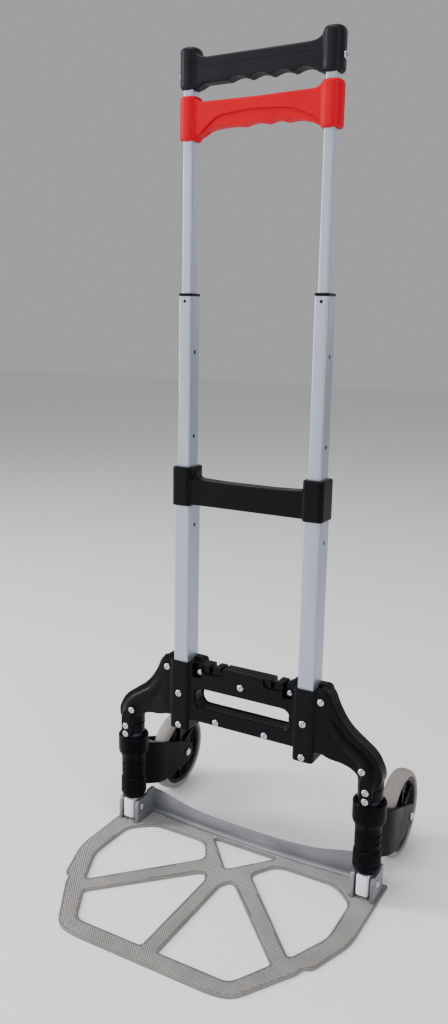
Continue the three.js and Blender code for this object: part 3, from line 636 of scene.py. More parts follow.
def frame_body():
    """The whole frame as one skin, before it is split into its shells."""
    body = front_slab(
        mirrored(frame_half_outline), 0.2 - FRAME_HALF_DEPTH, FRAME_HALF_DEPTH - 0.2,
        holes=[rounded(slot_outline, 10)], edge=2.6, edge_steps=4)
    for side in (-1, 1):
        for face in (1, -1):
            cut(body, slab(rounded([(side * x, face * y) for x, y in thin_arm]), 140, 270))
    slot_lip = smooth_path(flipped(slot_lip_half[:0:-1], -1) + slot_lip_half, 8)
    parts = [
        body,
        swept(slot_lip, SLOT_LIP_RADIUS),
        swept([Vector((p.x, SLOT_LIP_Y, p.z)) for p in slot_lip], SLOT_LIP_RADIUS),
        front_slab(
            [(-39, 246, 3), (40, 246, 3), (40, 257, 2), (-39, 257, 2)], -FRAME_HALF_DEPTH, -6,
            edge=1.6, edge_steps=3),
    ]
    for side in (-1, 1):
        parts += [
            sleeve(side),
            limb(flipped(arm_stations, side)),
            rod(SCREW_HEAD_RADIUS + 1.6, ELBOW_SEAT, 0, "y", (side * ELBOW[0], 0, ELBOW[1])),
            slab(
                rounded(tab_outline), side * LEG_X - 8.4, side * LEG_X + 8.4, "side", edge=1.4,
                edge_steps=3),
            front_slab(
                flipped([(62.5, 246, 3), (62.5, 259.4, 5), (112.5, 261, 5), (117.5, 248, 4)], side),
                2.5, SLEEVE_HALF_DEPTH, edge=1.5, edge_steps=3),
            front_slab(
                flipped([(101, 178, 3), (116, 178, 4), (116, 262, 6), (101, 256, 3)], side),
                -FRAME_HALF_DEPTH, -4, edge=2.4, edge_steps=3),
        ]
    return melted(parts, 0.95)


# Each screw's name, x, z, the Y of the face it sits on, and the Y that its tip reaches.
FRAME_SCREWS = [
    ("middle", 0, 239, -FRAME_HALF_DEPTH, 9),
    *(
        (f"{spot}_{name}", side * x, z, face, tip)
        for name, side in SIDES
        for spot, x, z, face, tip in (
            ("shoulder", 109.2, 244.9, -FRAME_HALF_DEPTH, 9),
            ("notch", 64.2, 243.5, RECESS_FRONT, 9),
            ("beam", 35.1, 183.2, -FRAME_HALF_DEPTH, 9),
            ("elbow", *ELBOW, ELBOW_SEAT, 9),
            ("sleeve", TUBE_X, SLEEVE_SCREW_Z, -SLEEVE_HALF_DEPTH, -12.6),
            ("boss", TUBE_X, BOSS_SCREW_Z, -SLEEVE_HALF_DEPTH, -12.6))),
]


def tube_socket(tube, gap, low, high, side, corner):
    """Cutter for an opening that a tube stands or slides in."""
    return post(side * TUBE_X, tube.half_width + gap, tube.half_depth + gap, low, high, corner)


def frame_cutters():
    cutters = [*hook_cutters(-45), *hook_cutters(43)]
    for side in (-1, 1):
        cutters += [
            tube_socket(LOWER_TUBE, GAP, LOWER_TUBE.bottom - GAP, 290, side, 1.5),
            rod(LEG_TUBE_RADIUS + GAP, 120, LEG_TUBE_TOP + GAP, at=(side * LEG_X, 0, 0), segments=48),
            front_slab(
                flipped([(57.6, 238.2, 5), (71.4, 238.2, 4), (71.4, 272), (57.6, 272)], side),
                -30, RECESS_FRONT),
            rod(SCREW_HEAD_RADIUS + 0.3, -30, ELBOW_SEAT, "y", (side * ELBOW[0], 0, ELBOW[1])),
        ]
        cutters += [screw_hole(side * LEG_X, z, -30, -10) for z in LEG_SCREW_Z]
    for _, x, z, face, tip in FRAME_SCREWS:
        cutters.append(screw_hole(x, z, -30, tip + GAP))
        if face not in (ELBOW_SEAT, RECESS_FRONT):
            cutters.append(rod(SCREW_HEAD_RADIUS + 0.5, -30, face + 0.02, "y", (x, 0, z), 40))
    return cutters


def make_frame():
    whole = frame_body()
    front = common(copy_of(whole), block((-250, -40, 100), (250, -SEAM, 300)))
    rear = common(whole, block((-250, SEAM, 100), (250, 40, 300)))
    for shell, name in ((front, "frame_front_shell"), (rear, "frame_rear_shell")):
        cut(shell, *frame_cutters())
        place(shell, name, "root", "black_plastic")
    for spot, x, z, face, tip in FRAME_SCREWS:
        place_screw(f"frame_screw_{spot}", tip - face + GAP, (x, face - GAP, z), FACING_FRONT)


# -------------------- cross bar

BAR_BOTTOM, BAR_TOP = 463, 512
BAR_HALF_DEPTH = 17
BAR_INNER_X, BAR_OUTER_X = 75.5, 102


def make_cross_bar():
    middle = (BAR_INNER_X + BAR_OUTER_X) / 2
    half_width = (BAR_OUTER_X - BAR_INNER_X) / 2
    gusset = [(60, 496, 3), (70, 497.6, 6), (74.5, 503, 4), (75.5, 509, 1), (80, 509), (80, 480), (60, 480)]
    parts = [front_slab(
        mirrored([(82, 465, 2), (82, 499, 3), (60, 497, 22), (30, 496.2)]), -13.5, 9, 8,
        edge=2.2, edge_steps=4)]
    for side in (-1, 1):
        parts += [
            post(side * middle, half_width, BAR_HALF_DEPTH, BAR_BOTTOM, BAR_TOP, 6, 1.6),
            front_slab(flipped(gusset, side), -6, 8.5, edge=1.6, edge_steps=3),
        ]
    made = melted(parts, 0.8)
    for side in (-1, 1):
        cut(
            made,
            tube_socket(LOWER_TUBE, GAP, BAR_BOTTOM - 5, LOWER_TUBE.top + GAP, side, 1.5),
            tube_socket(MIDDLE_TUBE, SLIDE_GAP, BAR_BOTTOM, 520, side, 1.5),
            rod(1.9, -20, 0.9 - BAR_HALF_DEPTH, "y", (side * (TUBE_X + 1.5), 0, 490), 24))
    place(made, "cross_bar", "root", "black_plastic")


# -------------------- tubes

LOWER_LOCK_Z = 437.5
SPARE_HOLE_Z = 549.7
UPPER_LOCK_Z = 651.8
HANDLE_SCREW_Z = 964
COLLAR_NUB_Z = 712
ROD_TOP = 908
ROD_RADIUS = 2.1
ROD_END_Z = ROD_TOP - 2.2

# Each stage's name, the tube it slides in, its own tube, the heights of its lock and of its guide's top,
# and the length of its lock pins.
STAGES = [
    ("middle", LOWER_TUBE, MIDDLE_TUBE, LOWER_LOCK_Z, 448, 7),
    ("upper", MIDDLE_TUBE, UPPER_TUBE, UPPER_LOCK_Z, 662, 6),
]


def rect_tube(tube, x, holes, corner=2.0):
    w, d, wall = tube.half_width, tube.half_depth, tube.wall
    outer = rectangle((x - w, -d), (x + w, d), corner)
    w, d = w - wall, d - wall
    inner = rectangle((x - w, -d), (x + w, d), max(0.4, corner - wall), 3)
    made = slab(outer, tube.bottom, tube.top, holes=[inner], edge=0.25, edge_steps=1)
    return cut(made, *holes)


def lock_hole(x, z):
    return rod(2.6, -20, 20, "x", (x, 0, z), 32)


def handle_screw_hole(side):
    reach = sorted((side * TUBE_X, side * (TUBE_X + 20)))
    return rod(SCREW_HOLE_RADIUS, *reach, "x", (0, 0, HANDLE_SCREW_Z), 24)


def guide(outer, inner, x, lock_z, plug_top, name, body):
    """Guide in the foot of an inner tube: a foot that slides in the outer tube, with a plug above."""
    foot_top = inner.bottom - GAP
    w = outer.half_width - outer.wall - SLIDE_GAP
    d = outer.half_depth - outer.wall - SLIDE_GAP
    foot = post(x, w, d, foot_top - 10, foot_top, 1.5, 0.5)
    w = inner.half_width - inner.wall - GAP
    d = inner.half_depth - inner.wall - GAP
    plug = post(x, w, d, foot_top - 2, plug_top, 0.8, 0.3)
    made = cut(union(foot, plug), rod(2.5, -20, 20, "x", (x, 0, lock_z), 24))
    place(made, name, body, "black_plastic")


def lock_pin(tube, length, side, z, name, body):
    """A lock pin, whose tip ends just inside the outer tube's wall."""
    tip = tube.half_width - tube.wall - GAP
    half = length / 2
    pin = turned([
        (0, -half), (1.7, -half), (2.1, 0.5 - half), (2.1, half - 0.8), (1.5, half), (0, half)], 32, "x")
    if side < 0:
        pin.data.transform(Matrix.Rotation(math.pi, 4, "Z"))
    pin.data.transform(Matrix.Translation((side * (TUBE_X + tip - half), 0, z)))
    place(pin, name, body, "zinc_steel")


def middle_collar(side):
    """The collar on top of a middle tube, held by a nub in a hole in the tube."""
    x = side * TUBE_X
    lip = MIDDLE_TUBE.top + GAP
    tongue = MIDDLE_TUBE.half_depth - MIDDLE_TUBE.wall - GAP
    nub = [(0, 0), (2.2, 0), (2.2, 2.4), (1.8, 2.8), (0, 2.8)]
    collar = union(
        post(x, 8.8, 11.6, lip, lip + 3, 2.6, 0.8),
        block((x - 5.5, -tongue, 703), (x + 5.5, tongue, lip + 1)),
        turned(nub, 24, "y", (x, 1 - tongue, COLLAR_NUB_Z)))
    return cut(collar, tube_socket(UPPER_TUBE, SLIDE_GAP, 690, 730, side, 1.4))


def make_tubes():
    for name, side in SIDES:
        x = side * TUBE_X
        lower = rect_tube(LOWER_TUBE, x, [
            lock_hole(x, LOWER_LOCK_Z), screw_hole(x, SLEEVE_SCREW_Z), screw_hole(x, BOSS_SCREW_Z)], 2.4)
        place(lower, f"lower_tube_{name}", "root", "tube_aluminium")
        middle = rect_tube(MIDDLE_TUBE, x, [
            lock_hole(x, LOWER_LOCK_Z), lock_hole(x, SPARE_HOLE_Z), lock_hole(x, UPPER_LOCK_Z),
            rod(2.5, -15, 0, "y", (x, 0, COLLAR_NUB_Z), 24)])
        place(middle, f"middle_tube_{name}", "middle_stage", "tube_aluminium")
        upper = rect_tube(UPPER_TUBE, x, [
            lock_hole(x, UPPER_LOCK_Z), block((x - 3, 0, ROD_TOP - 5.5), (x + 3, 20, ROD_TOP + 7.5)),
            handle_screw_hole(side)], 1.8)
        place(upper, f"upper_tube_{name}", "upper_stage", "tube_aluminium")
        place(middle_collar(side), f"middle_collar_{name}", "middle_stage", "black_plastic")

        for stage, outer, inner, lock_z, plug_top, _ in STAGES:
            guide(outer, inner, x, lock_z, plug_top, f"{stage}_guide_{name}", f"{stage}_stage")
        for stage, outer, _, lock_z, _, length in STAGES:
            lock_pin(outer, length, side, lock_z, f"{stage}_lock_pin_{name}", f"{stage}_lock_{name}")
        bent_rod = [
            (x, 0, UPPER_LOCK_Z + 12), (x, 0, 800), (x, 0, ROD_END_Z - 3.5), (x, 1, ROD_END_Z - 1),
            (x, 3.5, ROD_END_Z), (x, 10.6, ROD_END_Z)]
        release_rod = swept(smooth_path(bent_rod, 6), ROD_RADIUS)
        place(release_rod, f"release_rod_{name}", "release", "zinc_steel")


# -------------------- handles

POST_HALF_WIDTH = 12
POST_HALF_DEPTH = 13
POST_CORNER = 13
GRIP_HALF_DEPTH = 9
GRIP_SEAM = 970.65
POST_SEAM = 974.15
CAP_GAP = 0.25


def grip_part(corners, edge, steps=6, edge_steps=3):
    """A slab as deep as the grips."""
    return front_slab(corners, -GRIP_HALF_DEPTH, GRIP_HALF_DEPTH, steps, edge=edge, edge_steps=edge_steps)


def handle_posts(low, high, edge, webs):
    """The two posts of a handle, with the webs that lead from them to its bar."""
    parts = []
    for side in (-1, 1):
        parts.append(post(side * TUBE_X, POST_HALF_WIDTH, POST_HALF_DEPTH, low, high, POST_CORNER, edge))
        parts += [grip_part(flipped(web, side), 2.5) for web in webs]
    return parts


def make_top_handle():
    under_web = [(80, 947.8, 2), (72, 950.5, 6), (62, 956, 6), (62, 978, 4), (80, 978)]
    over_web = [
        (62, 970, 2), (62, 980.6, 2), (71.5, 981.8, 5), (76.5, 985, 4), (78, 989.5, 1), (82, 989.5),
        (82, 970)]
    parts = handle_posts(947.5, HEIGHT, 5, (under_web, over_web))
    bar = grip_part([(-80, 952.6), (80, 952.6), (80, 981), (-80, 981)], 3.4, edge_steps=4)
    waves = [rod(22, -20, 20, "y", (x, 0, 934.4), 96) for x in (-24.5, 2.5, 29.5, 56.5)]
    parts.append(cut(bar, *waves))
    whole = melted(parts, 0.8)
    above = union(
        block((-73, -20, GRIP_SEAM), (73, 20, 1010)),
        *(
            block((side * TUBE_X - 15.6, -20, POST_SEAM), (side * TUBE_X + 15.6, 20, 1010))
            for side in (-1, 1)))
    lower = cut(copy_of(whole), copy_of(above))
    above.data.transform(Matrix.Translation((0, 0, CAP_GAP)))
    upper = common(whole, above)
    seat = TUBE_X + POST_HALF_WIDTH
    for side in (-1, 1):
        pocket = sorted((side * (seat - 0.01), side * (seat + 9)))
        cut(
            lower, tube_socket(UPPER_TUBE, GAP, 900, POST_SEAM + 5, side, 1.2), handle_screw_hole(side),
            rod(SCREW_HEAD_RADIUS + 0.5, *pocket, "x", (0, 0, HANDLE_SCREW_Z), 40))
    place(lower, "handle_grip", "upper_stage", "grip_plastic")
    place(upper, "handle_cap", "upper_stage", "grip_plastic")
    for name, side in SIDES:
        place_screw(
            f"handle_screw_{name}", 9, (side * (seat + GAP), 0, HANDLE_SCREW_Z),
            Matrix.Rotation(side * math.pi / 2, 4, "Y"), "upper_stage")


def make_release_handle():
    web = [
        (80, 895, 3), (73, 897.5, 8), (62, 903, 8), (62, 932, 4), (71, 933.5, 8), (78, 938, 4), (80, 938)]
    parts = handle_posts(892.5, 941, 3.6, [web])
    underside = [
        (-80, 897), (-62, 903.6, 10), (-45, 905.2, 8), (-30, 905.4, 8), (-18, 903.8, 2), (-3, 907.6, 10),
        (12, 904.2, 2), (24, 907.4, 10), (36, 903.8, 2), (48, 905.4, 8), (62, 902.6, 8), (80, 897)]
    topside = [(80, 936), (70, 934, 10), (0, 933.2), (-70, 934, 10), (-80, 936)]
    parts.append(grip_part(underside + topside, 2.8, 5, 4))
    whole = melted(parts, 0.8)
    sweep = smooth_path([
        (-80, 896), (-72, 899), (-60, 909), (-45, 917), (-7, 920), (38, 917.5), (60, 911), (77, 902),
        (80, 899)], 8)
    recess = slab(
        [*sweep, Vector((80, 880)), Vector((-80, 880))], -30, 1.5 - GRIP_HALF_DEPTH, "front")
    cut(whole, common(recess, block((-74.6, -30, 880), (74.6, 0, 960))))
    for side in (-1, 1):
        cut(
            whole, tube_socket(UPPER_TUBE, SLIDE_GAP, 880, 960, side, 1.2),
            rod(2.5, 0, POST_HALF_DEPTH - 2, "y", (side * TUBE_X, 0, ROD_END_Z), 24))
    place(whole, "release_handle", "release", "red_plastic")


# -------------------- legs

PIN_RADIUS = 3
BOOT_BOTTOM, BOOT_TOP = 37.5, 131
CHEEK_INNER = 10.5
CHEEK_THICKNESS = 5
LEG_BORE = LEG_TUBE_RADIUS - 1.3
LEG_TUBE_BOTTOM = 45
ALONG_X = Matrix.Rotation(math.pi / 2, 4, "Y")


def domed_pin(radius, reach, head_radius, head_height, at):
    """A pin along X at a point, with a domed head on each end."""
    dome = [
        (head_radius * math.cos(a), reach + 0.4 + (head_height - 0.4) * math.sin(a))
        for a in (math.radians(90 - 10 * k) for k in range(9))]
    upper = [(0, dome[0][1]), *dome[1:], (head_radius, reach), (radius, reach)]
    made = turned([(r, -h) for r, h in upper] + upper[::-1], 48)
    made.data.transform(Matrix.Translation(at) @ ALONG_X)
    return made


def leg_collar(x):
    """The ring below the frame's arm, open in front where the frame's tab passes."""
    top, bottom, bore, radius = ARM_BOTTOM - GAP, 134, LEG_TUBE_RADIUS + GAP, 15.5
    ring = turned([
        (radius, bottom + 0.8), (radius, top - 1.6), (radius + 0.4, top - 1.2), (radius + 0.4, top - 0.5),
        (radius - 0.1, top), (bore, top), (bore, bottom), (radius - 0.8, bottom)], 64, at=(x, 0, 0))
    return cut(
        ring, block((x - 8.8, -20, bottom - 1), (x + 8.8, -11.2, top + 1)),
        *(screw_hole(x, z) for z in LEG_SCREW_Z))


def leg_end(x):
    """The foot of a leg: a plug in the tube, a neck, and a rounded foot round the toe plate's pin."""
    reach, block_top, front, back = 18.6, BOOT_BOTTOM - 0.9, -15, 10
    start, end = (math.asin((y - PIVOT_Y) / reach) - math.pi / 2 for y in (front, back))
    angles = (start + (end - start) * k / 24 for k in range(25))
    outline = [Vector((PIVOT_Y + reach * math.cos(a), PIVOT_Z + reach * math.sin(a))) for a in angles]
    outline += [Vector((back, block_top)), Vector((front, block_top))]
    foot = slab(outline, x - 7.6, x + 7.6, "side", edge=3.4, edge_steps=6)
    shoulder = CHEEK_INNER - 0.6
    plug, neck_top = LEG_BORE - GAP, LEG_TUBE_BOTTOM - GAP
    upper = turned([
        (0, block_top - 4), (shoulder - 0.6, block_top - 4), (shoulder, block_top - 3.4),
        (shoulder, neck_top), (plug, neck_top), (plug, 75), (plug - 1, 76), (0, 76)], 48, at=(x, 0, 0))
    upper = common(upper, block((x - 20, front, block_top - 1.6), (x + 20, back, 80)))
    return cut(union(foot, upper), rod(PIN_RADIUS + SLIDE_GAP, -20, 20, "x", (x, PIVOT_Y, PIVOT_Z), 32))


def make_leg(name, side):
    x = side * LEG_X
    tube = turned([
        (LEG_TUBE_RADIUS, LEG_TUBE_BOTTOM + 0.3), (LEG_TUBE_RADIUS, LEG_TUBE_TOP - 0.3),
        (LEG_TUBE_RADIUS - 0.3, LEG_TUBE_TOP), (LEG_BORE, LEG_TUBE_TOP), (LEG_BORE, LEG_TUBE_BOTTOM),
        (LEG_TUBE_RADIUS - 0.3, LEG_TUBE_BOTTOM)], 48, at=(x, 0, 0))
    cut(tube, *(screw_hole(x, z) for z in LEG_SCREW_Z))
    place(tube, f"leg_tube_{name}", "root", "tube_aluminium")
    place(leg_collar(x), f"leg_collar_{name}", "root", "black_plastic")
    place(leg_end(x), f"leg_end_{name}", "root", "white_nylon")
    for spot, z in zip(("upper", "lower"), LEG_SCREW_Z):
        place_screw(f"leg_screw_{spot}_{name}", 11, (x, TAB_FRONT - GAP, z), FACING_FRONT)
    pin = domed_pin(PIN_RADIUS, CHEEK_INNER + CHEEK_THICKNESS + GAP, 4.6, 2.2, (x, PIVOT_Y, PIVOT_Z))
    place(pin, f"pivot_pin_{name}", "toe_plate", "zinc_steel")


# -------------------- wheel brackets and wheels

FORK_INNER, FORK_OUTER = 13.5, 19.5
AXLE_RADIUS = 4
AXLE = (0, AXLE_Y, WHEEL_RADIUS)

# Outside of a bracket's boot, as (radius, height), from its hem up.
boot_outside = [
    (13.8, BOOT_BOTTOM), (15.6, 39.5), (17.2, 43.6), (17.5, 45.5), (17.5, 47.8), (16.6, 48.6), (16.6, 50),
    (17.5, 50.8), (17.3, 64.2), (16.6, 66.3), (15.2, 67.4), (15.2, 69.4), (16.3, 70.8), (16.4, 77.4),
    (15.5, 78.2), (15.5, 79.4), (16.4, 80.2), (16.4, 86.8), (15.5, 87.6), (15.5, 88.8), (16.4, 89.6),
    (16.6, 97), (17.8, 101), (19.9, 104.6), (20.7, 108), (20.7, 129.3), (19.4, BOOT_TOP),
]
fork_side_view = [
    (0, 118, 3), (119, 72.8, 14), (AXLE_Y + 15.5, WHEEL_RADIUS + 4, 9),
    (AXLE_Y + 12.6, WHEEL_RADIUS - 11.6, 9), (AXLE_Y, WHEEL_RADIUS - 16.5, 9), (54, 38.3, 10), (36, 42, 8),
    (4, 53), (0, 53),
]
fork_plan = [(19.2, 135), (19.2, 36, 14), (12.6, 13, 4), (11, 2)]
crotch_plan = [(FORK_INNER + 0.3, 140), (FORK_INNER + 0.3, 51, 5), (8.6, 40, 8)]


def make_bracket(name, side):
    bore = LEG_TUBE_RADIUS + SLIDE_GAP
    boot = turned([(bore - 2, BOOT_BOTTOM), *boot_outside, (bore - 2, BOOT_TOP)], 64)
    fork = common(
        slab(rounded(fork_side_view, 8), -25, 25, "side"), slab(rounded(mirrored(fork_plan), 8), 0, 140))
    cut(fork, slab(rounded(mirrored(crotch_plan), 8), 0, 140))
    bosses = [
        rod(10.5, low, high, "x", AXLE, 64)
        for low, high in ((FORK_INNER + 0.2, FORK_OUTER - 0.1), (0.1 - FORK_OUTER, -FORK_INNER - 0.2))]
    made = union(boot, melted([fork, *bosses], 0.85, 6))
    cut(
        made, rod(bore, 20, 140, segments=64), rod(17, 127, 140, segments=64),
        rod(AXLE_RADIUS + GAP, -30, 30, "x", AXLE, 32))
    made.data.transform(Matrix.Translation((side * LEG_X, 0, 0)))
    place(made, f"wheel_bracket_{name}", f"{name}_bracket", "bracket_plastic")
    axle = domed_pin(AXLE_RADIUS, FORK_OUTER + GAP, 5.5, 2.0, (side * LEG_X, AXLE_Y, WHEEL_RADIUS))
    place(axle, f"axle_{name}", f"{name}_bracket", "zinc_steel")


def both_faces(upper):
    """A profile carried on round its mirror image, from one face of a wheel to the other."""
    return upper + [(r, -h) for r, h in upper[::-1]]


def wheel_hub():
    """The hub, lying flat: a rim, a disc with a ring and six ribs, and a boss round the axle."""
    rim, rim_half, rim_inside, disc_half = HUB_RADIUS, 8.5, 43.5, 2
    boss, boss_half, bore = 12, 12.3, AXLE_RADIUS + SLIDE_GAP
    ring, ring_half = 27.5, 3.4
    hub = turned(both_faces([
        (rim - 0.4, rim_half), (rim_inside + 0.6, rim_half), (rim_inside, rim_half - 0.6),
        (rim_inside - 1.2, disc_half + 1.2), (rim_inside - 2.6, disc_half), (boss + 2.4, disc_half),
        (boss + 0.6, disc_half + 1.8), (boss - 0.2, boss_half - 0.8), (boss - 1, boss_half),
        (7.2, boss_half), (6.6, boss_half - 0.8), (bore + 1, boss_half - 0.8), (bore, boss_half - 1.4)]), 96)
    for k in range(6):
        outline = rectangle((boss - 1.5, -1.5), (rim_inside + 1, 1.5), 0.5, 3)
        rib = slab(outline, -6.6, 6.6, edge=0.4)
        rib.data.transform(Matrix.Rotation(k * math.pi / 3, 4, "Z"))
        union(hub, rib)
    return union(hub, turned([
        (ring, -ring_half), (ring + 1.6, -ring_half), (ring + 1.6, ring_half), (ring, ring_half)], 96))


def tyre():
    """The tyre, lying flat, with a fine mould line round the middle of its tread."""
    half = TYRE_HALF_WIDTH
    return turned(both_faces([
        (HUB_RADIUS + 0.3, half - 1.6), (HUB_RADIUS + 0.9, half - 0.6), (51.4, half), (53.0, half - 0.3),
        (54.6, half - 1.3), (55.9, half - 2.9), (56.8, half - 4.8), (57.3, half - 6.9), (57.5, 2.0),
        (57.5, 0.35), (57.3, 0.12)]), 128)


def make_wheel(name, side):
    at_axle = Matrix.Translation((side * LEG_X, AXLE_Y, WHEEL_RADIUS)) @ ALONG_X
    for made, part, material in (
            (wheel_hub(), "wheel_hub", "hub_plastic"), (tyre(), "tyre", "grey_tyre")):
        made.data.transform(at_axle)
        place(made, f"{part}_{name}", f"{name}_wheel", material)


# -------------------- toe plate

PLATE_REAR = 31
PLATE_THICKNESS = 3
RIM = 24

plate_half_outline = [
    (92, PLATE_FRONT, 12), (116, -235, 16), (158.5, -168, 3), (162, -157, 3), (171, -153, 5),
    (PLATE_HALF_WIDTH, -95, 16), (PLATE_HALF_WIDTH, PLATE_REAR, 3)]
side_window = [
    (140.5, -151, 8), (164.5, -98, 12), (163, -27, 12), (134, -2.5, 14), (64, -2.5, 5), (50, -8, 14),
    (34, -37, 10)]
front_window = [
    (11, PLATE_FRONT + RIM, 5), (97, PLATE_FRONT + RIM, 7), (105, -211, 10), (128, -170, 5), (27, -67, 5),
    (19, -63, 6), (11, -76, 6)]
hub_window = [(-46, 10.5, 5), (46, 10.5, 5), (2, -41, 3), (-2, -41, 3)]


def inside(point, outline):
    """Whether a point lies in an outline."""
    x, y = point
    crossings = 0
    for a, b in zip(outline, outline[1:] + outline[:1]):
        if (a.y > y) != (b.y > y) and x < a.x + (y - a.y) * (b.x - a.x) / (b.y - a.y):
            crossings += 1
    return crossings % 2 == 1


def wall_front(x):
    """Y of the rear wall's front face, which bows towards the wheels at its ends."""
    return 21.6 + 6.8 * (x / 157) ** 2


def wall_height(x):
    """Height of the rear wall, which is lowest in the middle."""
    places = (0, 55, 70, 92, 104, 130, 141, 148, 160)
    return np.interp(abs(x), places, (24, 24, 24.6, 26.4, 28.2, 33.6, 35.6, 36.4, 36.5))


def rear_wall():
    """The bowed wall along the plate's rear edge, with a cove where it meets the plate."""
    half_length, half_count, t = 157.4, 48, PLATE_THICKNESS
    sections = []
    for k in range(2 * half_count + 1):
        x = -half_length + half_length * k / half_count
        y = wall_front(x)
        h = wall_height(x)
        sections.append([Vector((x, y + dy, z)) for dy, z in (
            (-4.2, 2), (-4.2, t + 0.1), (-2.4, t + 0.5), (-1, t + 1.6), (-0.2, t + 3.6), (0, t + 6),
            (0, h - 1.2), (0.35, h - 0.4), (1, h), (2, h), (2.65, h - 0.4), (3, h - 1.2), (3, 5), (3, 2))])
    return lofted(sections)


def hinge_cheek(x0, rear):
    """An upright that carries an end of a hinge pin."""
    top = PIVOT_Z + 12
    profile = [
        (-13.5, 0.5), (rear, 0.5), (rear, 39, 3.5), (17, 39, 2.5), (12, 35.3, 3.5), (PIVOT_Y, top, 6),
        (-13.5, top, 10)]
    cheek = slab(rounded(profile, 8), x0, x0 + CHEEK_THICKNESS, "side", edge=0.7, edge_steps=3)
    return cut(cheek, rod(PIN_RADIUS + GAP, -200, 200, "x", (0, PIVOT_Y, PIVOT_Z), 32))


def dot_places(outline, windows, footings):
    """A staggered lattice of places on the plate's top that keeps clear of every edge and upright."""
    pitch, margin = 3.4, 3.1
    inner = inset(outline, margin)
    keep_out = [inset(window, -margin) for window in windows] + footings
    places = []
    rows = int((PLATE_REAR - PLATE_FRONT) / (pitch / 2)) + 1
    for row in range(rows):
        y = PLATE_FRONT + row * pitch / 2
        offset = pitch / 2 if row % 2 else 0
        for k in range(-60, 61):
            point = (k * pitch + offset, y)
            if inside(point, inner) and not any(inside(point, region) for region in keep_out):
                places.append(point)
    return places


def dots(places):
    """Small raised studs, as one mesh."""
    sides, foot, top, height = 8, 1.02, 0.62, 0.45
    angles = [2 * math.pi * k / sides for k in range(sides)]
    points, faces = [], []
    for x, y in places:
        low = len(points)
        high = low + sides
        for radius, z in ((foot, PLATE_THICKNESS - 0.15), (top, PLATE_THICKNESS + height)):
            points += [(x + radius * math.cos(a), y + radius * math.sin(a), z) for a in angles]
        for k in range(sides):
            after = (k + 1) % sides
            faces.append((low + k, low + after, high + after, high + k))
        faces.append(tuple(range(high, high + sides)))
        faces.append(tuple(reversed(range(low, high))))
    mesh = bpy.data.meshes.new("dots")
    mesh.from_pydata(points, [], faces)
    return new_object("dots", mesh)


def make_toe_plate():
    outline = rounded(mirrored(plate_half_outline), 8)
    windows = [rounded(hub_window)]
    footings = []
    for side in (-1, 1):
        windows += [rounded(flipped(window, side), 8) for window in (side_window, front_window)]
        footings += [
            [Vector(p) for p in flipped([(low, -15), (high, -15), (high, rear), (low, rear)], side)]
            for low, high, rear in ((156, 163.3, 34), (182, 189.3, 21.5))]
    bow = [Vector((x, wall_front(x) - 5.4)) for x in range(-160, 161, 16)]
    footings.append([*bow, Vector((160, 40)), Vector((-160, 40))])
    plate = slab(outline, 0, PLATE_THICKNESS, holes=windows, edge=0.7, edge_steps=3)
    place(plate, "toe_plate", "toe_plate", "cast_aluminium")
    studs = dots(dot_places(outline, windows, footings))
    place(studs, "plate_dots", "toe_plate", "cast_stud", "toe_plate")
    place(rear_wall(), "plate_wall", "toe_plate", "cast_wall", "toe_plate")
    cheeks = ("inner", LEG_X - CHEEK_INNER - CHEEK_THICKNESS, 31), ("outer", LEG_X + CHEEK_INNER, 20)
    for name, side in SIDES:
        for spot, low, rear in cheeks:
            cheek = hinge_cheek(low if side > 0 else -low - CHEEK_THICKNESS, rear)
            cheek_name = f"hinge_cheek_{spot}_{name}"
            place(cheek, cheek_name, "toe_plate", "cast_wall", "toe_plate")


# -------------------- the whole truck

make_frame()
make_cross_bar()
make_tubes()
make_top_handle()
make_release_handle()
for name, side in SIDES:
    make_leg(name, side)
    make_bracket(name, side)
    make_wheel(name, side)
make_toe_plate()


# -------------------- floor, light and camera

TRUCK_MIDDLE = (0, 0, 0.45)


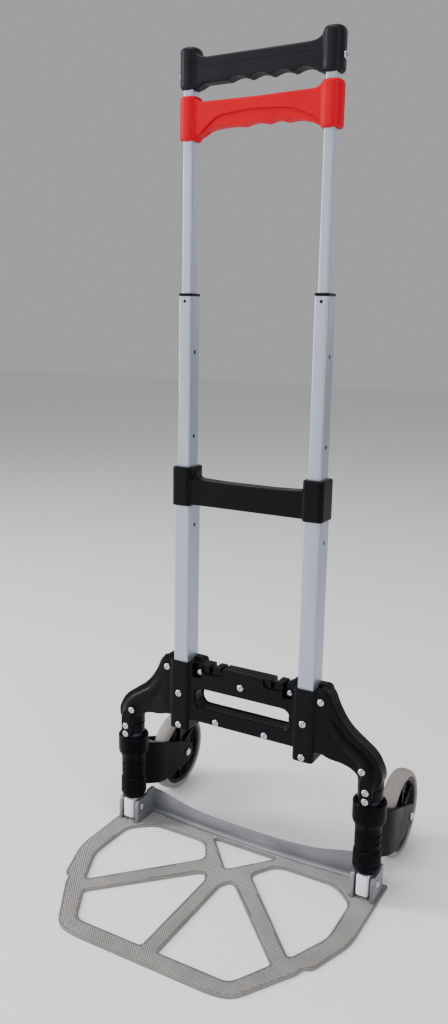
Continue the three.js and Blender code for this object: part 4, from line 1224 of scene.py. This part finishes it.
def make_floor():
    """A wide pale floor, a hair below the truck's underside."""
    half, depth = 9, 0.0004
    material, _ = principled("floor", (0.9, 0.9, 0.9), 0.6)
    mesh = bpy.data.meshes.new("floor")
    corners = [(-half, -half, 0), (half, -half, 0), (half, half, 0), (-half, half, 0)]
    mesh.from_pydata(corners, [], [(0, 1, 2, 3)])
    made = new_object("floor", mesh)
    made.location.z = -depth
    made.data.materials.append(material)


def soft_light(name, place_at, size, power, colour=(1, 1, 1)):
    """A soft panel that faces the middle of the truck. Its size is in metres, its power in watts."""
    data = bpy.data.lights.new(name, "AREA")
    data.shape = "RECTANGLE"
    data.size, data.size_y = size
    data.energy = power
    data.color = colour
    lamp = new_object(name, data)
    lamp.location = place_at
    lamp.rotation_euler = (Vector(TRUCK_MIDDLE) - Vector(place_at)).to_track_quat("-Z", "Y").to_euler()


def make_lights():
    world = bpy.data.worlds.new("studio")
    world.use_nodes = True
    background = world.node_tree.nodes["Background"]
    background.inputs["Color"].default_value = (1, 1, 1, 1)
    background.inputs["Strength"].default_value = 0.4
    scene.world = world
    soft_light("left", (-2.3, -0.9, 1.3), (0.6, 2.0), 66)
    soft_light("right", (2.2, -1.15, 1.2), (0.4, 2.0), 24, (0.92, 0.95, 1.0))
    soft_light("front", (-1.4, -2.6, 1.0), (1.8, 2.4), 17, (0.95, 0.97, 1.0))
    soft_light("back", (1.1, 2.3, 1.5), (1.0, 1.8), 4)
    soft_light("top", (-0.2, -0.5, 3.0), (2.0, 1.4), 60)


def make_camera():
    azimuth, elevation, roll = (math.radians(a) for a in (29.25, 11.79, 1.037))
    back = Vector((
        math.sin(azimuth) * math.cos(elevation), -math.cos(azimuth) * math.cos(elevation),
        math.sin(elevation)))
    right = Vector((math.cos(azimuth), math.sin(azimuth), 0))
    up = back.cross(right)
    turned_right = math.cos(roll) * right + math.sin(roll) * up
    turned_up = math.cos(roll) * up - math.sin(roll) * right
    data = bpy.data.cameras.new("camera")
    data.lens, data.sensor_width = 31.24, 36
    camera = new_object("camera", data)
    basis = Matrix((turned_right, turned_up, back)).transposed().to_4x4()
    camera.matrix_world = Matrix.Translation((0.4904, -0.90385, 0.6832)) @ basis
    scene.camera = camera


make_floor()
make_lights()
make_camera()
